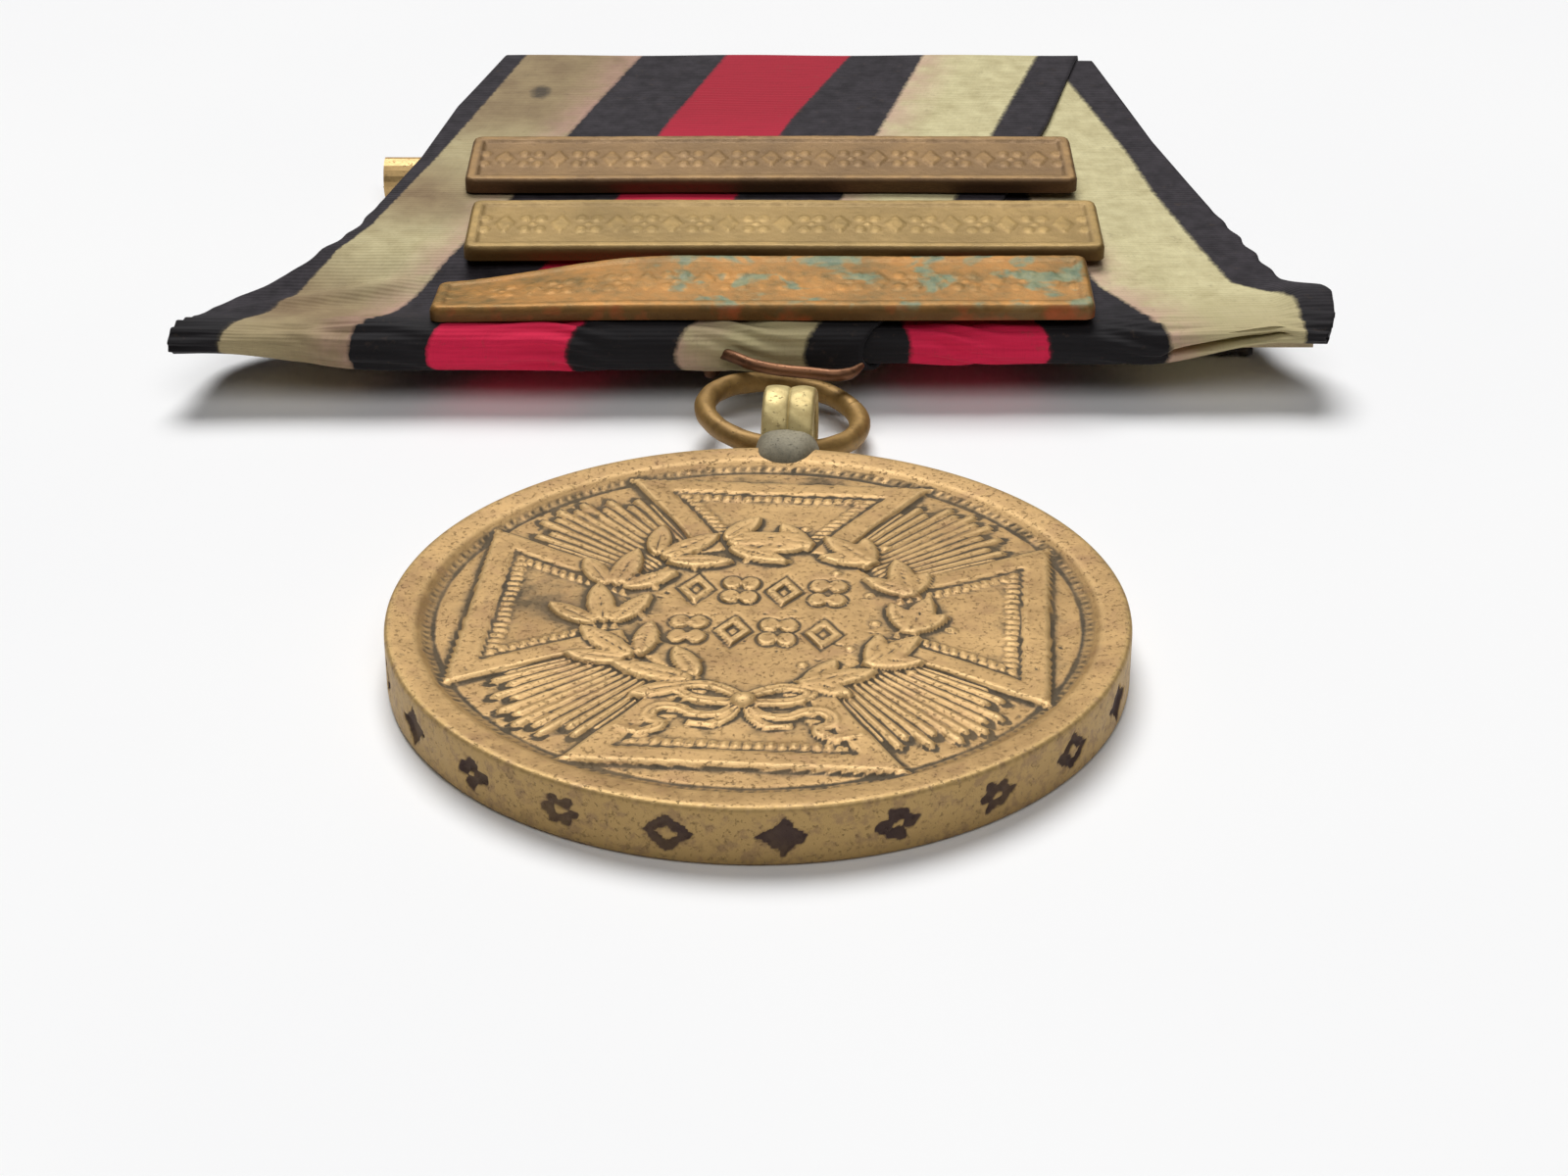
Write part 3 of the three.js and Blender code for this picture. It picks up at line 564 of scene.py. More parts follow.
def struck_disc():
    around = 540
    angle = np.linspace(0, 2 * math.pi, around, endpoint=False)
    radii = np.concatenate([np.arange(0.12, 8.4, 0.112), np.arange(8.4, 12.6, 0.15),
                            [12.6, 12.75, 12.9, 13.05, 13.2, 13.35, 13.5, 13.75, 14.0, 14.2]])
    x, y = radii[:, None] * np.cos(angle), radii[:, None] * np.sin(angle)
    face = np.stack([x, y, FIELD + sample(height, x, y)], -1).reshape(-1, 3)
    face_tone = sample(hollow, x, y).ravel()
    faces = backward(grid_faces(len(radii), around, wrap=True))

    # The edge, with twice as many columns and sunk ornament all round.
    fine = 2 * around
    turn = np.linspace(0, 2 * math.pi, fine, endpoint=False)
    profile = [(14.36, DISC_T - 0.01), (14.44, DISC_T - 0.04), (14.485, DISC_T - 0.10)]
    profile += [(DISC_R, z) for z in np.linspace(DISC_T - 0.2, 0.24, 17)]
    profile += [(14.485, 0.15), (14.43, 0.06), (14.33, 0.01)]
    pr, pz = np.array(profile)[:, :1], np.array(profile)[:, 1:]
    arc = turn[None, :] * DISC_R
    step = 2 * math.pi * DISC_R / MARKS
    number = np.floor(arc / step + 0.5)
    p = (arc - number * step) / 0.98
    q = (pz - DISC_T / 2) / 0.78
    pattern = np.mod(number, 4)
    lozenge = np.minimum(1 - (abs(p) + abs(q)), abs(p) + abs(q) - 0.38)
    flower = 0.74 + 0.13 * np.cos(6 * np.arctan2(q, p)) - np.hypot(p, q)
    flower = np.minimum(flower, np.hypot(p, q) - 0.2)
    star = 1.12 - (abs(p) ** 0.75 + abs(q) ** 0.75)
    petals = 0.40 - np.minimum(np.hypot(abs(p) - 0.48, q), np.hypot(p, abs(q) - 0.48))
    mark = np.select([pattern == 0, pattern == 1, pattern == 2], [lozenge, star, petals], flower)
    ragged = 0.06 * np.sin(31 * turn + 7 * pz) + 0.05 * np.sin(83 * turn - 11 * pz)
    ragged += 0.04 * np.sin(157 * turn + 5 * pz)
    sunk = smooth((mark + ragged) / 0.22 + 0.15)
    wobble = 0.02 * np.sin(3 * turn + 1) + 0.012 * np.sin(17 * turn)
    band = smooth((DISC_T - 0.2 - pz) / 0.1) * smooth((pz - 0.2) / 0.1)
    er = pr - 0.15 * sunk * band - 0.012 * smooth((pz - DISC_T + 0.3) / 0.3) * (1 + wobble)
    edge = np.stack([er * np.cos(turn), er * np.sin(turn), np.broadcast_to(pz, er.shape)], -1).reshape(-1, 3)
    worn_line = smooth((pz - DISC_T + 0.24) / 0.1) * (0.5 + 0.5 * np.sin(211 * turn) * np.sin(57 * turn))
    edge_tone = (sunk * 1.4 - 0.5 * worn_line).ravel()
    start = len(face)
    last = start - around
    for j in range(around):
        a, b, c = start + 2 * j, start + 2 * j + 1, start + (2 * j + 2) % fine
        faces.append([last + j, a, b, c, last + (j + 1) % around])
    faces += backward(grid_faces(len(profile), fine, wrap=True, start=start))

    # The back: a plain sunk field inside a rim, with a low eight-petalled rosette and a beaded line.
    back = np.concatenate([[14.1, 13.7, 13.3, 13.15, 13.0], np.arange(12.6, 9.2, -0.24),
                           np.arange(9.0, 0.3, -0.62)])
    br = back[:, None] + 0 * angle[None, :]
    bead = bell(br - 11.9, 0.28) * (0.5 + 0.5 * np.cos(72 * angle))
    petal = smooth((6.2 - br - 1.6 * (0.5 - 0.5 * np.cos(8 * angle))) / 1.0) * smooth((br - 1.2) / 0.8)
    bz = BACK_SUNK * smooth((13.35 - br) / 0.3) - 0.14 * bead
    bz = bz - 0.12 * petal * (0.45 + 0.55 * np.cos(4 * angle) ** 2)
    reverse = np.stack([br * np.cos(angle), br * np.sin(angle), bz], -1).reshape(-1, 3)
    reverse_tone = (0.25 - 0.5 * petal).ravel()
    start_back = start + len(edge)
    low = start_back - fine
    for j in range(around):
        a, b, c = low + 2 * j, low + 2 * j + 1, low + (2 * j + 2) % fine
        faces.append([c, b, a, start_back + j, start_back + (j + 1) % around])
    faces += backward(grid_faces(len(back), around, wrap=True, start=start_back))

    centres = np.array([[0, 0, FIELD + height[CELLS // 2, CELLS // 2]], [0, 0, BACK_SUNK]])
    centre_face = start_back + len(reverse)
    faces += fan(centre_face, 0, around)
    faces += [[centre_face + 1, b, a] for _, a, b in fan(0, centre_face - around, around)]
    points = turned(np.vstack([face, edge, reverse, centres]), TURN, (OX, OY))
    tone = np.concatenate([face_tone, edge_tone, reverse_tone, np.zeros(2)])
    # This marks the edge wall, which the material paints lighter as a painted reflection of the floor.
    on_edge = np.zeros(len(points))
    on_edge[start:start_back] = 1
    return add_mesh("struck_disc", points, faces, values={"hollow": tone, "edge": on_edge})


def disc_bronze():
    p = Paint("struck_bronze")
    hollow_at, edge = p.attribute("hollow"), p.attribute("edge")
    broad, mid = p.noise(0.22, 4, 0.6), p.noise(1.3, 5, 0.65)
    fine, grain = p.noise(5.0, 5, 0.7), p.noise(14.0, 3, 0.6)
    tone = p.halves(broad, mid)
    colour = p.mix(p.span(tone, 0.36, 0.62), srgb(158, 125, 78), srgb(194, 158, 104))
    rust = p.span(p.noise(0.55, 4, 0.6, distortion=0.4), 0.52, 0.72)
    colour = p.mix(p.times(rust, 0.4), colour, srgb(138, 100, 72))
    mottle = p.span(p.noise(1.7, 4, 0.65), 0.5, 0.62)
    # The edge wall all round is painted lighter: a painted reflection of the pale floor it faces.
    colour = p.mix(p.times(edge, 0.75), colour, srgb(190, 158, 100))
    colour = p.mix(p.times(p.times(edge, mottle), 0.5), colour, srgb(138, 108, 84))
    raised = p.span(hollow_at, -0.15, -0.6)
    colour = p.mix(p.times(raised, 0.5), colour, srgb(218, 184, 128))
    specks = p.span(fine, 0.57, 0.66)
    colour = p.mix(p.times(specks, 0.4), colour, srgb(84, 64, 44))
    sunk = p.span(p.plus(hollow_at, p.times(p.minus(mid, 0.5), 0.9)), 0.08, 0.46)
    sunk = p.times(sunk, p.span(broad, 0.25, 0.55, 0.66, 0.95))
    dark = p.mix(edge, srgb(76, 66, 50), srgb(72, 54, 54))
    colour = p.mix(sunk, colour, dark)
    p.set(Base_Color=colour, Metallic=p.span(sunk, 0.0, 1.0, 0.5, 0.3),
          Roughness=p.plus(p.span(mid, 0.3, 0.7, 0.46, 0.60), p.times(sunk, 0.25)))
    p.bump(p.plus(p.times(grain, 0.4), p.times(p.minus(1.0, specks), 0.6)), 0.026, 0.8)
    return p.material


seat(struck_disc(), "pendant", disc_bronze(), "medal_disc")

# ---------------------------------------------------------------- eyelet, solder, ring and hook


def lathe_x(name, profile, count, centre, turn, dent):
    """Turns a closed (x, r) profile about an axis along X through the centre, dented by a function."""
    profile = np.array(profile, float)
    angle = np.linspace(0, 2 * math.pi, count, endpoint=False)
    x, r = (np.repeat(column[:, None], count, 1) for column in profile.T)
    r = r + dent(x, angle[None, :], r)
    points = np.stack([x, r * np.cos(angle), r * np.sin(angle)], -1).reshape(-1, 3)
    faces = grid_faces(len(profile), count, wrap=True, flip=True, closed=True)
    return add_mesh(name, turned(points, turn, (0, 0)) + np.asarray(centre), faces, sharp=48)


EYE_LENGTH, EYE_BORE, EYE_OUT = 2.3, 1.42, 2.0
EYE_RIBS, RIB_HEIGHT = 2, 0.13


def eyelet_profile():
    """The ribbed outside from end to end, then the bore back again."""
    half = EYE_LENGTH / 2
    outer = []
    for x in np.linspace(-half, half, 49):
        t = (x + half) / EYE_LENGTH * EYE_RIBS % 1.0
        bulge = max(math.sin(math.pi * t), 0.0) ** 0.5
        end = max(min(1.0, (half - abs(x)) / 0.12), 0.0)
        outer.append((x, EYE_OUT - RIB_HEIGHT * (1 - bulge) - 0.12 * (1 - end) ** 2))
    bore = [(x, EYE_BORE) for x in np.linspace(1.05, -1.05, 7)]
    return outer + [(half - 0.05, EYE_BORE + 0.06)] + bore + [(-half + 0.05, EYE_BORE + 0.06)]


def hammered(x, a, r):
    outside = r > EYE_BORE + 0.2
    return outside * -(0.018 * np.sin(5 * a + 2.0 * x) ** 2 + 0.014 * np.sin(9 * a - 3 * x + 1) ** 2)


eyelet = lathe_x("tube_eyelet", eyelet_profile(), 96, EYE, TURN, hammered)
brass = aged_metal("pale_brass", srgb(214, 196, 140), srgb(176, 152, 96), srgb(96, 76, 46),
                   rough=(0.46, 0.6), metallic=0.5)
seat(eyelet, "pendant", brass, "suspension_eyelet")


def solder_drop():
    """A lumpy drop of soft solder over the rim and the foot of the tube."""
    rows, cols = 40, 72
    half_size = (1.42, 1.5, 1.25)
    centre = (0, DISC_R + 0.1, 1.75)
    lat = np.linspace(-0.3 * math.pi, 0.499 * math.pi, rows)
    lon = np.linspace(0, 2 * math.pi, cols, endpoint=False)
    la, lo = np.meshgrid(lat, lon, indexing="ij")
    lumps = 1 + 0.03 * np.sin(3 * lo + 1) * np.cos(la) + 0.02 * np.sin(5 * lo - 2 * la + 2) * np.cos(la)
    x = np.cos(la) ** 0.6 * np.sign(np.cos(lo)) * abs(np.cos(lo)) ** 0.7
    y = np.cos(la) ** 0.8 * np.sin(lo)
    drop = (np.stack([x, y, np.sin(la)], -1) * half_size * lumps[:, :, None]).reshape(-1, 3)
    poles = [(0, 0, drop[:, 2].min()), (0, 0, drop[:, 2].max() + 0.005)]
    low, top = len(drop), len(drop) + 1
    faces = grid_faces(rows, cols, wrap=True) + fan(top, low - cols, cols)
    faces += [[low, b, a] for _, a, b in fan(low, 0, cols)]
    points = turned(np.vstack([drop, poles]) + centre, TURN, (OX, OY))
    return add_mesh("solder_drop", points, faces)


grey = aged_metal("grey_solder", srgb(160, 152, 130), srgb(120, 114, 96), srgb(64, 60, 48),
                  rough=(0.6, 0.75), pits=0.06, metallic=0.25, scale=2.2)
seat(solder_drop(), "pendant", grey, "solder_collar")


RING_RADIUS, RING_WIRE = 3.5, 0.48   # to the middle of the wire, and the wire's own radius
HOOK_WIRE = 0.28


def suspension_ring():
    """A round wire ring, closed with a butt joint where the wire narrows a little."""
    roll = math.radians(7)
    steps, sides = 180, 28
    big = np.linspace(0, 2 * math.pi, steps, endpoint=False)
    small = np.linspace(0, 2 * math.pi, sides, endpoint=False)
    b, s = np.meshgrid(big, small, indexing="ij")
    joint = bell((np.mod(b - 0.42 + math.pi, 2 * math.pi) - math.pi) * RING_RADIUS, 0.06)
    w = RING_WIRE * (1 - 0.16 * joint) + 0.010 * np.sin(5 * b + 2 * s) + 0.008 * np.sin(13 * b - 3 * s)
    r = RING_RADIUS + w * np.cos(s)
    x, y, z = r * np.cos(b), r * np.sin(b), w * np.sin(s)
    c, q = math.cos(roll), math.sin(roll)
    points = np.stack([c * x + q * z + RING[0], y + RING[1], -q * x + c * z + RING[2]], -1).reshape(-1, 3)
    return add_mesh("wire_ring", points, grid_faces(steps, sides, wrap=True, flip=True, closed=True))


ring_metal = aged_metal("ring_brass", srgb(164, 130, 74), srgb(124, 95, 50), srgb(70, 52, 32),
                        rough=(0.46, 0.6), metallic=0.55)
seat(suspension_ring(), "ring", ring_metal, "suspension_ring")

# The hook: its pointed end lies over the ring's far side, the wire goes through the hem at its left, loops
# under the ribbon and comes up again inside the ring.
far = RING[1] + RING_RADIUS
over, under = RING[2] + RING_WIRE + HOOK_WIRE, RING[2] - RING_WIRE - HOOK_WIRE
hook_points = [
    (3.65, far - 0.25, over + 0.25), (3.1, far - 0.85, over + 0.12), (2.4, far - 1.15, over + 0.15),
    (1.2, far - 1.0, over + 0.2), (-0.3, far - 0.85, over + 0.3), (-1.4, far - 0.6, over + 0.45),
    (-2.2, far + 0.05, over + 0.5), (-2.9, far + 0.85, over + 0.35), (-3.3, far + 1.3, over - 0.15),
    (-3.4, far + 1.6, over - 0.9), (-3.2, far + 2.4, under + 0.3), (-2.6, far + 4.4, under + 0.36),
    (-1.2, far + 5.5, under + 0.36), (0.2, far + 4.0, under + 0.2), (0.2, far + 1.5, under - 0.17),
    (0.1, far - 0.4, under - 0.15), (0.1, far - 1.35, under + 0.15), (0.1, far - 1.7, under + 0.85),
]
hook_steps = 180
hook_path = catmull([(x + RING[0], y, z) for x, y, z in hook_points], hook_steps)
hook_radius = HOOK_WIRE * np.clip(0.25 + np.arange(hook_steps) / 16.0, 0, 1) ** 0.6
hook_radius[-3:] *= (0.95, 0.85, 0.6)
copper = aged_metal("copper_wire", srgb(134, 94, 66), srgb(100, 68, 48), srgb(52, 36, 28),
                    rough=(0.34, 0.58), metallic=0.85, scale=1.4)
seat(tube("bent_hook", hook_path, hook_radius), "mount", copper, "wire_hook")

# ---------------------------------------------------------------- the mount's own laid-out frame

rise_axis = joints["pin_open"]["axis"]
RISE = math.atan2(abs(rise_axis[2]), abs(rise_axis[1]))
HEM_Y = ring_hi[1] + 0.32   # where s is 0: the hem's own line, just past the ring
HEM_TOP = 3.8               # the face's height there
MOUNT_END = 34.7            # s at the folded top edge
DEPTH = 2.3                 # the folded ribbon's whole thickness
TABLE_GAP = 0.06            # the backing's clearance over the table


def lay(x, s, h):
    """From across, up the ribbon and above its face to the frame's own axes."""
    c, q = math.cos(RISE), math.sin(RISE)
    x, s, h = np.broadcast_arrays(x, s, h)
    return np.stack([x + OX, HEM_Y + s * c - h * q, HEM_TOP + s * q + h * c], -1)


def corner_drop(x, s):
    """How far the crushed left corner sags."""
    return smooth((-4 - x) / 11.5) * np.sin(math.pi * np.clip(s / 9.3, 0, 1)) ** 2


# The mount's two outlines, as x against s.
LEFT_EDGE = np.array([
    (-0.6, -27.2), (0.8, -26.95), (2.3, -26.5), (4.2, -25.9), (5.3, -24.9), (6.1, -23.7), (6.9, -22.7),
    (8.4, -21.4), (10.9, -20.0), (14.6, -18.95), (19.8, -17.6), (26.7, -16.4), (34.8, -14.2)])
RIGHT_EDGE = np.array([
    (-0.6, 25.6), (0.3, 26.1), (1.5, 26.45), (3.2, 26.5), (4.3, 26.1), (5.1, 25.1), (5.8, 24.55),
    (8.2, 23.86), (10.9, 23.1), (13.7, 22.3), (17.0, 21.5), (22.5, 20.2), (27.1, 19.35), (34.8, 17.9)])


def leg_path(inset):
    """The ribbon's line, as (s, h), from its hidden tail round the hem, up the face and over the top edge."""
    top, low, middle = -inset, -DEPTH + inset, -DEPTH / 2
    radius = DEPTH / 2 - inset
    near, far_end = -0.5 + DEPTH / 2, MOUNT_END - DEPTH / 2
    half_turn = np.linspace(0, math.pi, 60)[1:-1]
    line = [(s, low) for s in np.linspace(11, near, 20)]
    line += [(near - radius * math.sin(a), middle - radius * math.cos(a)) for a in half_turn]
    line += [(s, top) for s in np.concatenate([np.linspace(near, 8, 46), np.linspace(8.25, far_end, 96)])]
    for a in np.linspace(0, math.pi, 34)[1:-1]:
        out, up = math.sin(a) ** 0.6, math.copysign(abs(math.cos(a)) ** 0.6, math.cos(a))
        line.append((far_end + radius * out, middle + radius * up))
    line += [(s, low) for s in np.linspace(far_end, 17, 22)]
    return np.array(line)


def pinched_corner(x, s, h, on_roll):
    """The right corner: squeezed into two layers, with an open slit between them and the top one lifted."""
    depth_at = -h / DEPTH
    pinch = smooth((x - 18.2) / 1.6) * smooth((24.4 - x) / 1.2)
    level = 0.62 - 0.30 * np.clip((x - 18.2) / 6.0, 0, 1)
    s = s + 1.5 * pinch * bell(depth_at - level, 0.085) * on_roll
    thin = 1 - 0.48 * smooth((x - 17) / 7) * smooth((7 - s) / 4)
    lift = 0.55 * smooth((x - 23.6) / 1.6) * bell(s - 3.4, 1.6)
    return s + 0.5 * smooth((x - 19) / 6) * on_roll * np.clip(depth_at, 0, 1), thin, lift


def ribbon_leg(name, curves, inset, seed, right_corner):
    """One half of the folded ribbon. Each curve is a share of the width and a stripe edge's x against s."""
    line = leg_path(inset)
    on_face = line[:, 1][:, None]
    cols = 150
    w = np.linspace(0, 1, cols)[None, :]
    length = np.concatenate([[0], np.cumsum(np.hypot(*np.diff(line, axis=0).T))])[:, None]
    share = np.array([at for at, _ in curves])
    sides = np.stack([np.interp(line[:, 0], edge[:, 0], edge[:, 1]) for _, edge in curves], 1)
    x = np.stack([np.interp(w[0], share, row) for row in sides])
    s, h = line[:, 0][:, None] + 0 * x, on_face + 0 * x
    on_roll = smooth((3.2 - s) / 2.6)
    # The left corner thins out.
    thin, lift = 1 - 0.42 * smooth((-17 - x) / 9) * smooth((8 - s) / 5), 0
    if right_corner:
        s, squeeze, lift = pinched_corner(x, s, h, on_roll)
        thin = thin * squeeze
    h = h * thin + lift
    # Ridges where the cloth is gathered toward the left corner.
    ridge = bell((s - 5.0) - 0.32 * (x + 21), 0.55) * smooth((-15.5 - x) / 3) * smooth((x + 26) / 3)
    h = h + 0.30 * ridge * (on_face > -0.5)
    crease = bell((s - 0.4) - 0.10 * (x + 22), 0.32) * bell(x + 21.5, 2.2)
    h = h - 0.22 * crease * (on_face > -1.0)
    # Fine slanting wrinkles round the roll, and a slack unevenness everywhere.
    phase = length / 0.42 + 0.55 * np.sin(x * 0.9 + seed) + 0.35 * x
    wrinkle = np.sin(math.pi * phase + 1.3 * np.sin(x * 0.33 + seed))
    wrinkle = wrinkle * (0.5 + 0.5 * np.sin(x * 0.7 + 2 * seed))
    out = on_roll * 0.12 * wrinkle + 0.03 * np.sin(x * 0.55 + s * 0.22 + seed) * smooth((s - 1) / 3)
    roll_out = np.clip(-(s - 0.65) / 1.15, 0, 1)
    h = h + out * (1 - roll_out) * np.sign(h + DEPTH / 2)
    s = s - out * roll_out
    # The free edges wave a little.
    wave = 0.10 * np.sin(s * 3.3 + seed) * smooth((s - 5) / 3) * smooth((15 - s) / 5)
    x = x + wave * (smooth((w - 0.9) / 0.1) + smooth((0.1 - w) / 0.1))
    h = h - corner_drop(x, s)
    points = lay(x, s, h).reshape(-1, 3)
    uv = np.stack([w + 0 * x, length + 0 * x], -1).reshape(-1, 2)
    # Brown soiling, on the front leg only: all down the left, and most near the top.
    brown = 0 * x
    if not right_corner:
        brown = smooth((-8 - x) / 9) * (0.75 + 0.25 * np.sin(0.45 * s + 0.3 * x))
        brown = np.maximum(brown, 0.95 * smooth((s - 17) / 9) * smooth((-2 - x) / 4))
        brown = brown * (1 - 0.55 * bell(np.hypot((s - 9.5) / 2.6, (x + 16.5) / 4.5), 1))
    marks = {"stain": brown, "up": s, "over": x}
    thing = add_mesh(name, points, grid_faces(len(line), cols), uv=uv, values=marks)
    thickened(thing, 0.24).use_even_offset = False
    return thing


def curve(*points):
    return np.array(points, float)


FRONT = [
    (0.0, LEFT_EDGE),
    (0.068, curve((-0.85, -25.0), (2.6, -23.5), (6.6, -21.57), (8.3, -20.7), (11.6, -19.2), (19.4, -16.94),
                  (26.4, -15.21), (34.8, -13.1))),
    (0.235, curve((-0.83, -19.08), (4.3, -17.08), (8.8, -14.68), (15.4, -12.4), (24.65, -9.71),
                  (34.8, -6.7))),
    (0.39, curve((-0.83, -15.6), (3.4, -12.9), (7.4, -10.4), (14.6, -7.3), (24.65, -5.06), (34.8, -1.95))),
    (0.60, curve((-0.83, -9.25), (2.6, -6.9), (6.1, -4.6), (14.6, -1.5), (24.65, 1.31), (34.8, 4.9))),
    (0.75, curve((-0.83, -4.2), (2.6, -1.7), (6.1, 0.6), (14.6, 3.9), (24.65, 6.31), (34.8, 8.9))),
    (0.925, curve((-0.83, 1.65), (2.6, 4.0), (6.1, 6.1), (14.6, 9.5), (24.65, 12.34), (34.8, 15.2))),
    (1.0, curve((-0.83, 4.4), (2.6, 6.5), (6.1, 8.4), (14.6, 11.9), (24.65, 14.93), (34.8, 17.4))),
]
REAR = [
    (0.0, curve((-0.83, -4.9), (34.8, -12.6))),
    (0.39, curve((-0.83, 7.0), (14.6, 2.6), (34.8, -2.4))),
    (0.60, curve((-0.83, 13.4), (5.0, 11.2), (14.6, 8.7), (34.8, 3.8))),
    (0.75, curve((-0.83, 19.0), (1.0, 18.4), (5.0, 15.9), (14.6, 13.5), (24.65, 11.0), (34.8, 8.5))),
    (0.925, curve((-0.83, 25.0), (2.6, 24.8), (4.1, 24.11), (5.5, 22.14), (11.4, 20.66), (16.2, 19.55),
                  (21.2, 18.72), (29.3, 16.86), (34.8, 15.4))),
    (1.0, RIGHT_EDGE),
]


# The stripes, as shares of the width between black edges and grounds.
CREAM_LEFT, RED, CREAM_RIGHT = (0.068, 0.235), (0.39, 0.60), (0.75, 0.925)


def ribbon_weave():
    p = Paint("ribbon_weave")
    u, v, _ = p.split(p.uv)
    stain, up, over = p.attribute("stain"), p.attribute("up"), p.attribute("over")
    fray = p.times(p.minus(p.noise(3.5, 3, 0.6), 0.5), 0.010)
    at = p.plus(u, fray)
    # Black and cream are painted darker on the hem's roll, where up is below 0.6: a painted shade. The faded
    # mottling of the black is kept off the roll as well.
    black = p.mix(p.span(up, 0.6, 5.0), srgb(33, 31, 33), srgb(40, 36, 40))
    cream = p.mix(p.span(up, 0.6, 5.0), srgb(184, 170, 130), srgb(222, 212, 166))
    red = p.mix(p.span(up, 4, 26), srgb(232, 40, 82), srgb(172, 34, 54))
    brown = p.mix(p.span(p.noise(0.5, 4, 0.6), 0.35, 0.65), srgb(158, 137, 103), srgb(136, 114, 86))
    cream = p.mix(p.span(p.noise(0.9, 4, 0.65), 0.3, 0.72), cream, srgb(190, 178, 134))
    cream = p.mix(stain, cream, brown)
    is_cream = p.steps(at, [CREAM_LEFT, CREAM_RIGHT])
    is_red = p.steps(at, [RED])
    # The black has run into the cream's inner edges.
    bleed = p.ramp(u, [(0.0, BLACK), (0.17, BLACK), (0.24, WHITE), (0.25, BLACK), (0.74, BLACK),
                       (0.75, WHITE), (0.82, BLACK)])
    bleed = p.times(bleed, p.span(p.noise(0.6, 3, 0.6), 0.35, 0.6, 0.15, 0.6))
    cream = p.mix(bleed, cream, srgb(205, 160, 150))
    faded = p.mix(p.times(p.span(p.noise(1.2, 5, 0.65), 0.35, 0.7), p.span(up, 0.6, 5.0)), black,
                  srgb(62, 57, 62))
    worn = p.span(p.noise(2.2, 5, 0.75), 0.66, 0.74)
    faded = p.mix(p.times(worn, 0.22), faded, srgb(104, 96, 92))
    colour = p.mix(is_cream, faded, cream)
    colour = p.mix(is_red, colour, red)
    # Cross ribs of the weave, with the odd heavier thread, and the fine warp over them.
    ribs_at = p.plus(p.times(v, 2 * math.pi / 0.235), p.times(p.noise(0.7, 2, 0.5), 2.2))
    rib = p.times(p.plus(p.math("SINE", ribs_at), 1.0), 0.5)
    warp = p.noise(1.0, 2, 0.6, vector=p.stretch(p.uv, (620.0, 0.8, 1.0)))
    thread = p.noise(1.0, 2, 0.5, vector=p.stretch(p.uv, (14.0, 4.6, 1.0)))
    shade = p.plus(p.span(rib, 0.0, 1.0, 0.95, 1.02), p.span(warp, 0.3, 0.7, -0.05, 0.05))
    shade = p.times(shade, p.span(thread, 0.3, 0.7, 0.93, 1.06))
    colour = p.mix(1.0, colour, p.ramp(shade, [(0, BLACK), (1, WHITE)]), "MULTIPLY")
    # Soiling in scattered patches, and one dark spot near the top left.
    soil = p.span(p.noise(1.6, 5, 0.7), 0.60, 0.78)
    colour = p.mix(p.times(soil, 0.4), colour, srgb(96, 78, 62))
    spot_x, spot_y = p.minus(over, -12.1), p.minus(up, 28.6)
    spot = p.plus(p.times(spot_x, spot_x), p.times(p.times(spot_y, spot_y), 0.35))
    spot = p.span(p.plus(spot, p.times(p.noise(2.0, 3), 0.6)), 0.75, 0.35)
    colour = p.mix(p.times(p.times(spot, 0.8), p.span(stain, 0.0, 0.15)), colour, srgb(56, 52, 50))
    p.set(Base_Color=colour, Roughness=0.78)
    p.shader.inputs["Sheen Weight"].default_value = 0.06
    p.shader.inputs["Sheen Roughness"].default_value = 0.45
    p.shader.inputs["Specular IOR Level"].default_value = 0.18
    p.bump(p.plus(rib, p.times(warp, 0.4)), 0.018, 0.7)
    return p.material


weave = ribbon_weave()
front = ribbon_leg("ribbon_front_leg", FRONT, 0.0, 1.0, False)
seat(front, "mount", weave, "ribbon")
behind = ribbon_leg("ribbon_rear_leg", REAR, 0.29, 4.0, True)
seat(behind, "mount", weave, "ribbon")

# ---------------------------------------------------------------- backing cloth

# The folded mount's left and right sides against s.
MOUNT_SIDES = np.array([(0.0, -27.6, 26.9), (1.0, -27.6, 26.9), (6.6, -21.8, 24.4), (34.7, -14.2, 17.9)])
PLATE, GAP = 0.4, 0.25   # the brooch plate and the backing are as thick; the gap is between any two layers


def backing_cover():
    """The backing follows the table near the hem, then rises to lie against the ribbon."""
    near_end, far_end, inset, cols = 5.2, MOUNT_END - 2.2, 1.6, 120
    path = np.linspace(near_end, far_end, 120)[:, None]
    w = np.linspace(0, 1, cols)[None, :]
    left = np.interp(path, MOUNT_SIDES[:, 0], MOUNT_SIDES[:, 1]) + inset
    right = np.interp(path, MOUNT_SIDES[:, 0], MOUNT_SIDES[:, 2]) - inset
    x = left + w * (right - left)
    on_table = -(HEM_TOP + path * math.sin(RISE)) / math.cos(RISE) + TABLE_GAP + PLATE
    t = smooth((path - 9.5) / 7.0)
    h = on_table * (1 - t) - (DEPTH + GAP) * t + 0 * x
    h = h - 0.04 * (0.5 + 0.5 * np.sin(0.7 * x + 0.3 * path)) * t * smooth((path - 15) / 3)
    s = path + 0.12 * np.sin(5.1 * x) * (path < near_end + 0.2)   # the near edge is cut with pinking shears
    points = lay(x, s, h)
    length = np.cumsum(np.linalg.norm(np.diff(points[:, cols // 2], axis=0), axis=1))
    length = np.concatenate([[0], length])[:, None]
    uv = np.stack([x, length + 0 * x], -1).reshape(-1, 2)
    thing = add_mesh("backing_cover", points.reshape(-1, 3), grid_faces(len(path), cols), uv=uv)
    thickened(thing, 0.34)
    return thing


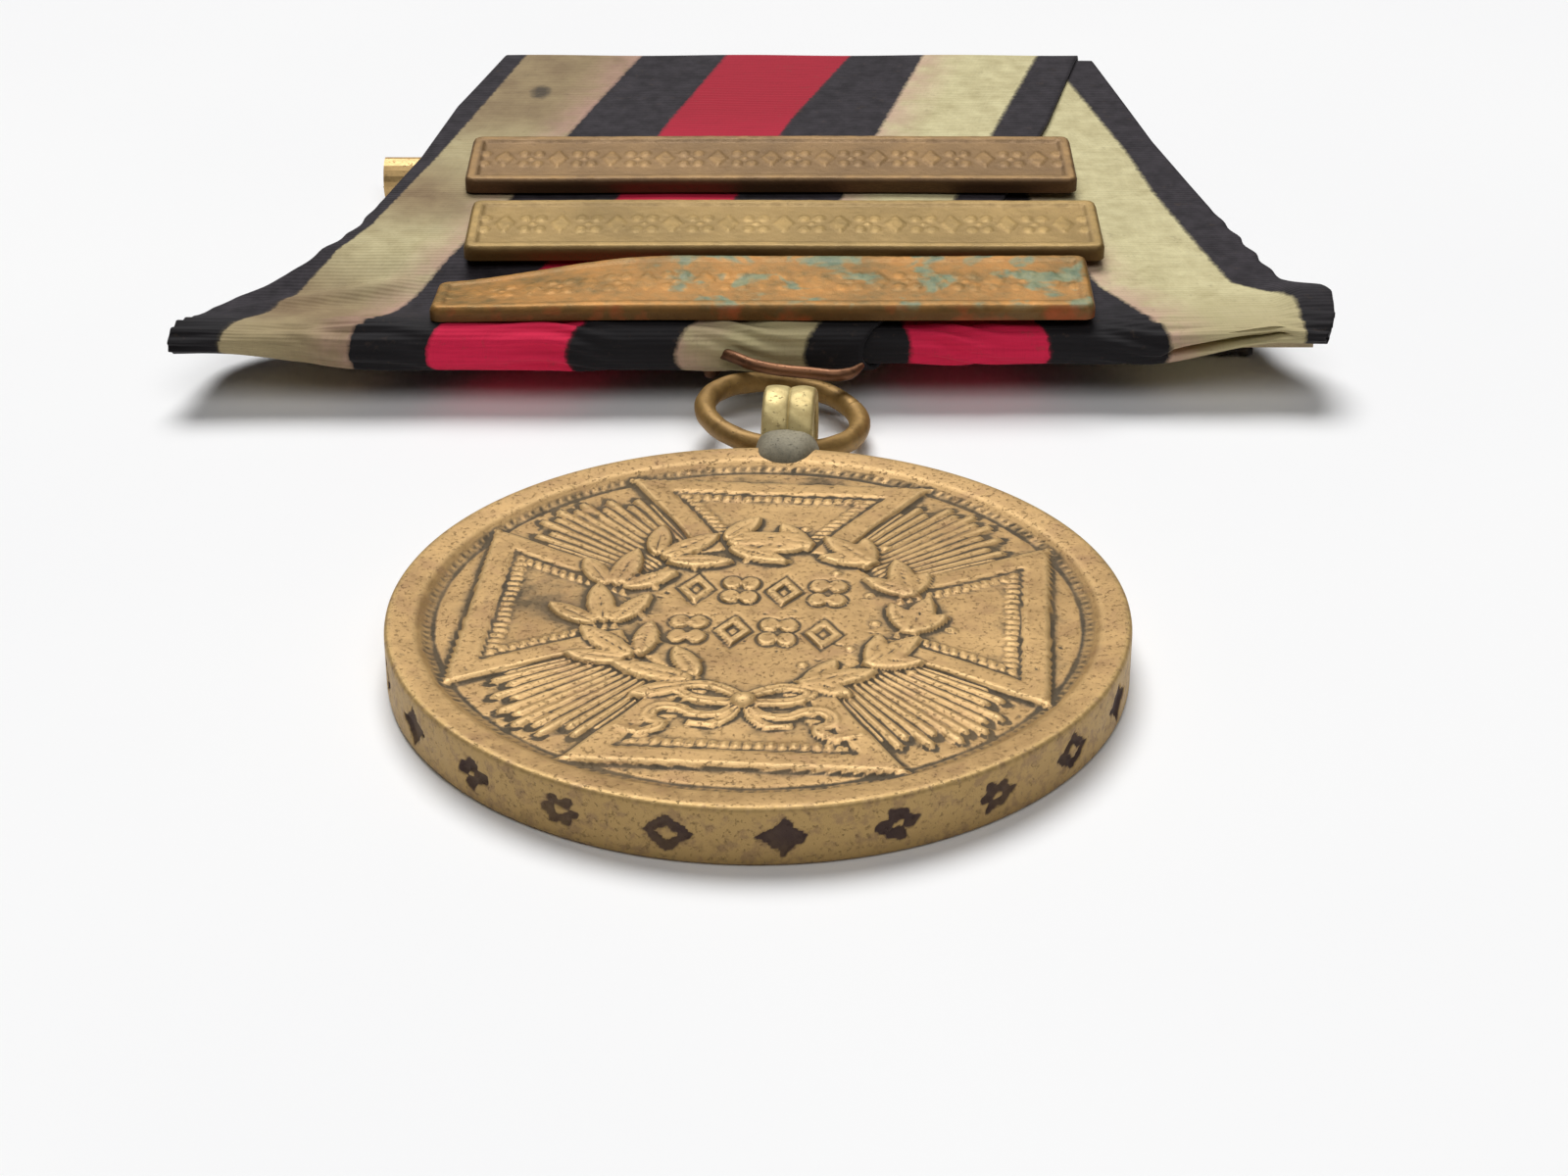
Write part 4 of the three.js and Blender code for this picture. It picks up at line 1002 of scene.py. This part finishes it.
def twill():
    p = Paint("backing_cotton")
    u, v, _ = p.split(p.uv)
    slant = p.math("SINE", p.times(p.plus(u, v), 2 * math.pi / 0.5))
    fine = p.math("SINE", p.times(v, 2 * math.pi / 0.25))
    ridge = p.plus(p.times(slant, 0.35), p.times(fine, 0.15))
    tone = p.plus(p.noise(0.8, 5, 0.7), p.times(ridge, 0.25))
    colour = p.ramp(tone, [(0.25, srgb(44, 41, 40)), (0.6, srgb(72, 67, 64)), (0.8, srgb(98, 90, 84))])
    p.set(Base_Color=colour, Roughness=0.9)
    p.shader.inputs["Sheen Weight"].default_value = 0.15
    p.bump(ridge, 0.05, 0.7)
    return p.material


cover = backing_cover()
seat(cover, "mount", twill(), "backing_cloth")

# ---------------------------------------------------------------- clasps


CLASP_GAP = 0.15   # between a clasp and the ribbon
CLASP = {"length": 30.6, "width": 5.6, "thickness": 0.75, "border": 0.55, "recess": 0.16, "corner": 0.5}


def clasp_ornament(x, y):
    """A row of lozenges, each between a pair of small leaves, with dots; x and y from the clasp's middle."""
    px = np.mod(x + 1.35, 2.7) - 1.35
    lozenge = 1 - (abs(px) / 0.55 + abs(y) / 1.15)
    leaves = 0.42 - np.hypot((abs(px) - 0.98) * 1.45, abs(y) - 0.62)
    dots = 0.2 - np.hypot(abs(px) - 1.35, y)
    return smooth(np.maximum.reduce([lozenge * 1.4, leaves * 2.4, dots * 3.0]) / 0.32)


def clasp_bar(name, middle, near, seed, wear, bend):
    """A stamped bar on the ribbon. Wear rounds it and rubs its relief down; bend twists its left end."""
    length, width, thick, border, deep, corner = CLASP.values()
    nx, ny = 300, 58
    x, y = np.meshgrid(middle + np.linspace(-length / 2, length / 2, nx), near + np.linspace(0, width, ny))
    from_mid_x, from_mid_y = x - middle, y - near - width / 2
    ex, ey = length / 2 - abs(from_mid_x), width / 2 - abs(from_mid_y)
    # Rounded outline corners and rounded top edges.
    cx, cy = np.clip(corner - ex, 0, None), np.clip(corner - ey, 0, None)
    to_corner = np.hypot(cx, cy)
    edge = np.where((cx > 0) & (cy > 0), corner - to_corner, np.minimum(ex, ey))
    round_r = 0.14 + 0.16 * wear
    top = thick - round_r + np.sqrt(np.clip(round_r ** 2 - np.clip(round_r - edge, 0, round_r) ** 2, 0, None))
    recess = deep * smooth((edge - border) / 0.14) * (1 - 0.6 * wear)
    raised = clasp_ornament(from_mid_x, from_mid_y) * (edge > border + 0.12)
    uneven = 0.5 + 0.5 * np.sin(0.55 * x + seed) * np.sin(0.9 * y + 0.21 * x + 2 * seed)
    relief = 0.10 * raised * (1 - wear * (0.45 + 0.5 * uneven))
    noise = np.random.default_rng(int(seed * 10)).standard_normal((ny, nx))
    for _ in range(2):
        noise = (noise + sum(np.roll(noise, step, axis) for axis in (0, 1) for step in (1, -1))) / 5
    top = top - recess + relief + 0.012 * noise - 0.03 * wear * uneven
    # A bent clasp is twisted down toward its left end, its far edge most, and narrows there.
    up_share = (y - near) / width
    twist = bend * smooth((-3.5 - x) / 12.0) * (0.12 + 0.72 * up_share)
    y = y - bend * 1.3 * smooth((-6.0 - x) / 10.5) * smooth(up_share)
    # Draw the outline in at the corners, and let the bar bow a little along the ribbon.
    outside = (cx > 0) & (cy > 0) & (to_corner > corner)
    pull = np.where(outside, 1 - corner / np.maximum(to_corner, 1e-6), 0)
    x_drawn = x - np.sign(from_mid_x) * cx * pull
    y_drawn = y - np.sign(y - near - width / 2) * cy * pull + 0.05 * np.sin(0.21 * x + seed)
    top_points = lay(x_drawn, y_drawn, CLASP_GAP + top - twist).reshape(-1, 3)
    low_points = lay(x_drawn, y_drawn, CLASP_GAP - twist).reshape(-1, 3)

    # The side wall, in three steps from the top's outline down to the underside's.
    shift = nx * ny
    index = np.arange(shift).reshape(ny, nx)
    rim = np.concatenate([index[0], index[1:, -1], index[-1, -2::-1], index[-2:0:-1, 0]])
    between = [top_points[rim] * (1 - t) + low_points[rim] * t for t in (1 / 3, 2 / 3)]
    rows = [rim, 2 * shift + np.arange(len(rim)), 2 * shift + len(rim) + np.arange(len(rim)), rim + shift]
    faces = grid_faces(ny, nx) + grid_faces(ny, nx, start=shift, flip=True)
    for upper, lower in zip(rows[:-1], rows[1:]):
        faces += np.stack([upper, lower, np.roll(lower, -1), np.roll(upper, -1)], -1).tolist()
    points = np.vstack([top_points, low_points] + between)

    dark = np.clip(recess / deep * (1 - raised), 0, 1)
    tone = np.clip(0.45 * dark + 0.5 * bell(edge - border, 0.14) * (1 - 0.5 * wear), 0, 1).ravel()
    walls = len(between) * len(rim)
    along = from_mid_x.ravel()
    return add_mesh(name, points, faces, sharp=60, values={
        "hollow": np.concatenate([tone, np.full(shift, 0.5), np.full(walls, 0.55)]),
        "side": np.concatenate([(1 - smooth(edge / 0.2)).ravel(), np.ones(shift + walls)]),
        "span": np.concatenate([along, along, along[rim], along[rim]]),
    })


def clasp_metal(name, bright, body, dark, side_tone, verdigris=0.0):
    p = Paint(name)
    hollow_at, side, span = p.attribute("hollow"), p.attribute("side"), p.attribute("span")
    broad, mid, fine = p.noise(0.28, 4, 0.6), p.noise(1.5, 5, 0.65), p.noise(6.0, 4, 0.7)
    tone = p.halves(broad, mid)
    colour = p.mix(p.span(tone, 0.38, 0.6), body, bright)
    colour = p.mix(p.times(p.span(fine, 0.6, 0.7), 0.45), colour, dark)
    sunk = p.times(hollow_at, p.span(mid, 0.35, 0.6, 0.55, 1.1))
    colour = p.mix(p.span(sunk, 0.12, 0.75, 0.0, 0.85), colour, dark)
    colour = p.mix(p.times(side, 0.8), colour, side_tone)
    metallic = 0.42
    if verdigris:
        patch = p.span(p.noise(0.42, 3, 0.6, distortion=0.3), 0.52, 0.60)
        patch = p.times(patch, p.span(span, -7.5, -3.0))
        patch = p.times(patch, p.minus(1.0, p.times(side, 0.9)))
        green = p.times(patch, verdigris)
        colour = p.mix(green, colour, p.mix(p.span(mid, 0.35, 0.65), srgb(96, 116, 88), srgb(146, 150, 110)))
        rusty = p.span(p.noise(0.45, 3, 0.6), 0.5, 0.64)
        colour = p.mix(p.times(p.times(rusty, side), 0.8), colour, srgb(176, 84, 40))
        metallic = p.minus(0.45, p.times(green, 0.4))
    p.set(Base_Color=colour, Metallic=metallic, Roughness=p.span(mid, 0.3, 0.7, 0.48, 0.62))
    p.bump(p.plus(fine, p.times(p.noise(13.0, 3), 0.5)), 0.03, 0.7)
    return p.material


def fit_clasp(level, place, slot, colours, verdigris=0.0):
    """Makes one clasp; place is its middle, near edge, seed, wear and bend."""
    bar = clasp_bar(f"bar_{level}", *place)
    seat(bar, "mount", clasp_metal(slot, *colours, verdigris), f"clasp_{level}")


fit_clasp("upper", (0.35, 15.0, 1.2, 0.35, 0.0), "brown_bronze",
          (srgb(166, 131, 82), srgb(127, 98, 59), srgb(70, 50, 34), srgb(78, 50, 30)))
fit_clasp("middle", (1.0, 7.0, 2.3, 0.6, 0.0), "olive_brass",
          (srgb(179, 148, 90), srgb(142, 116, 65), srgb(86, 66, 38), srgb(96, 70, 32)))
fit_clasp("lower", (0.0, 0.6, 3.7, 0.9, 1.0), "worn_gilt",
          (srgb(190, 136, 68), srgb(126, 100, 52), srgb(70, 50, 34), srgb(102, 70, 26)), verdigris=0.95)

# ---------------------------------------------------------------- pin at the back, stitches, hidden parts

brooch_metal = aged_metal("brooch_brass", srgb(206, 172, 116), srgb(160, 126, 78), srgb(84, 62, 40),
                          rough=(0.32, 0.55))
steel = aged_metal("needle_steel", srgb(190, 188, 178), srgb(146, 143, 134), srgb(84, 78, 68),
                   rough=(0.24, 0.42), pits=0.008)


def dress(node, material, bevel=0.0):
    """Gives a piece that shows its own CAD mesh its material, and softens its edges."""
    thing = bpy.data.objects.get(node)
    thing.data.materials.clear()
    thing.data.materials.append(material)
    if bevel:
        soft_edge = thing.modifiers.new("edge", "BEVEL")
        soft_edge.width = bevel * MM
        soft_edge.segments = 2
        soft_edge.limit_method = "ANGLE"
        soft_edge.angle_limit = math.radians(40)


def card_board():
    p = Paint("card_board")
    p.set(Base_Color=p.ramp(p.noise(1.5, 5, 0.7), [(0.3, srgb(170, 150, 118)), (0.7, srgb(196, 178, 144))]),
          Roughness=0.92)
    p.bump(p.noise(6.0, 4, 0.7), 0.03, 0.6)
    return p.material


dress("brooch_plate", brooch_metal, 0.07)
dress("brooch_catch", brooch_metal, 0.05)
dress("hinge_rivet", steel, 0.04)
dress("brooch_needle", steel)
dress("stiffener_card", card_board(), 0.08)
for owner in ("upper", "middle", "lower"):
    for side in ("left", "right"):
        dress(f"clasp_{owner}_prong_{side}", brooch_metal, 0.03)


def waxed_thread():
    p = Paint("waxed_thread")
    u, v, _ = p.split(p.uv)
    twist = p.math("SINE", p.times(p.plus(u, p.times(v, 2.4)), 4 * math.pi))
    tones = [(0.0, srgb(30, 28, 29)), (1.0, srgb(66, 60, 60))]
    p.set(Base_Color=p.ramp(p.span(twist, -1, 1), tones), Roughness=0.7)
    p.bump(twist, 0.04, 0.8)
    return p.material


THREAD, STITCH_GAP, PLATE_WIDTH = 0.22, 0.1, 4


def stitch(name, node):
    """A staple of thread: up through the cloth at both ends, straight across under the plate."""
    lo, hi = box_mm(node)
    middle = (lo + hi) / 2
    s_mid = (middle[1] - HEM_Y) * math.cos(RISE) + (middle[2] - HEM_TOP) * math.sin(RISE)
    low = -DEPTH - 2 * (GAP + PLATE) - STITCH_GAP - THREAD / 2
    high = low + THREAD / 2 + STITCH_GAP + PLATE + GAP + 0.24
    half = PLATE_WIDTH / 2 + STITCH_GAP + THREAD / 2
    one_side = [(half, high), (half, (high + low) / 2), (half - 0.02, low + 0.12), (half - 0.13, low),
                (half / 2, low)]
    route = [(-s, h) for s, h in one_side] + [(0, low)] + one_side[::-1]
    s, h = np.array(route).T
    return tube(name, catmull(lay(middle[0] - OX, s_mid + s, h), 60), 0.105, sides=12)


thread = waxed_thread()
for k in range(1, 5):
    seat(stitch(f"thread_{k}", f"brooch_stitch_{k}"), "mount", thread, f"brooch_stitch_{k}")

# ---------------------------------------------------------------- floor, light

half_m = 1.6
floor_mesh = bpy.data.meshes.new("floor")
corners = [(x * half_m, y * half_m, 0) for x, y in ((-1, -1), (1, -1), (1, 1), (-1, 1))]
floor_mesh.from_pydata(corners, [], [[0, 1, 2, 3]])
floor = bpy.data.objects.new("floor", floor_mesh)
bpy.context.scene.collection.objects.link(floor)
floor.location.z = -0.01 * MM
paper = Paint("floor_paper")
whites = [(0.3, (0.90, 0.90, 0.905)), (0.7, (0.92, 0.92, 0.92))]
paper.set(Base_Color=paper.ramp(paper.noise(0.02, 2), whites), Roughness=0.9)
floor_mesh.materials.append(paper.material)


def soft_sun(name, energy, spread, toward):
    lamp = bpy.data.lights.new(name, "SUN")
    lamp.energy = energy
    lamp.angle = math.radians(spread)
    thing = bpy.data.objects.new(name, lamp)
    bpy.context.scene.collection.objects.link(thing)
    thing.rotation_euler = Vector(toward).to_track_quat("-Z", "Y").to_euler()


soft_sun("overhead", 2.75, 34, (0.08, -0.48, -0.87))
soft_sun("front", 0.85, 44, (-0.10, 0.50, -0.86))


def studio_world():
    """A dim grey dome, brighter overhead, which the camera sees as pale as the floor."""
    world = bpy.data.worlds.new("world")
    world.use_nodes = True
    bpy.context.scene.world = world
    nodes, link = world.node_tree.nodes, world.node_tree.links.new
    dome = nodes["Background"]
    place, parts, fade = (nodes.new(f"ShaderNode{kind}") for kind in ("TexCoord", "SeparateXYZ", "MapRange"))
    for key, value in (("From Min", 0.05), ("From Max", 0.7), ("To Min", 0.38), ("To Max", 0.98)):
        fade.inputs[key].default_value = value
    link(place.outputs["Generated"], parts.inputs[0])
    link(parts.outputs["Z"], fade.inputs["Value"])
    link(fade.outputs[0], dome.inputs["Strength"])
    pale, ray, either = (nodes.new(f"ShaderNode{kind}") for kind in ("Background", "LightPath", "MixShader"))
    pale.inputs["Color"].default_value = (0.92, 0.92, 0.925, 1.0)
    link(ray.outputs["Is Camera Ray"], either.inputs[0])
    link(dome.outputs[0], either.inputs[1])
    link(pale.outputs[0], either.inputs[2])
    link(either.outputs[0], nodes["World Output"].inputs["Surface"])


studio_world()
bpy.context.scene.view_settings.view_transform = "Standard"
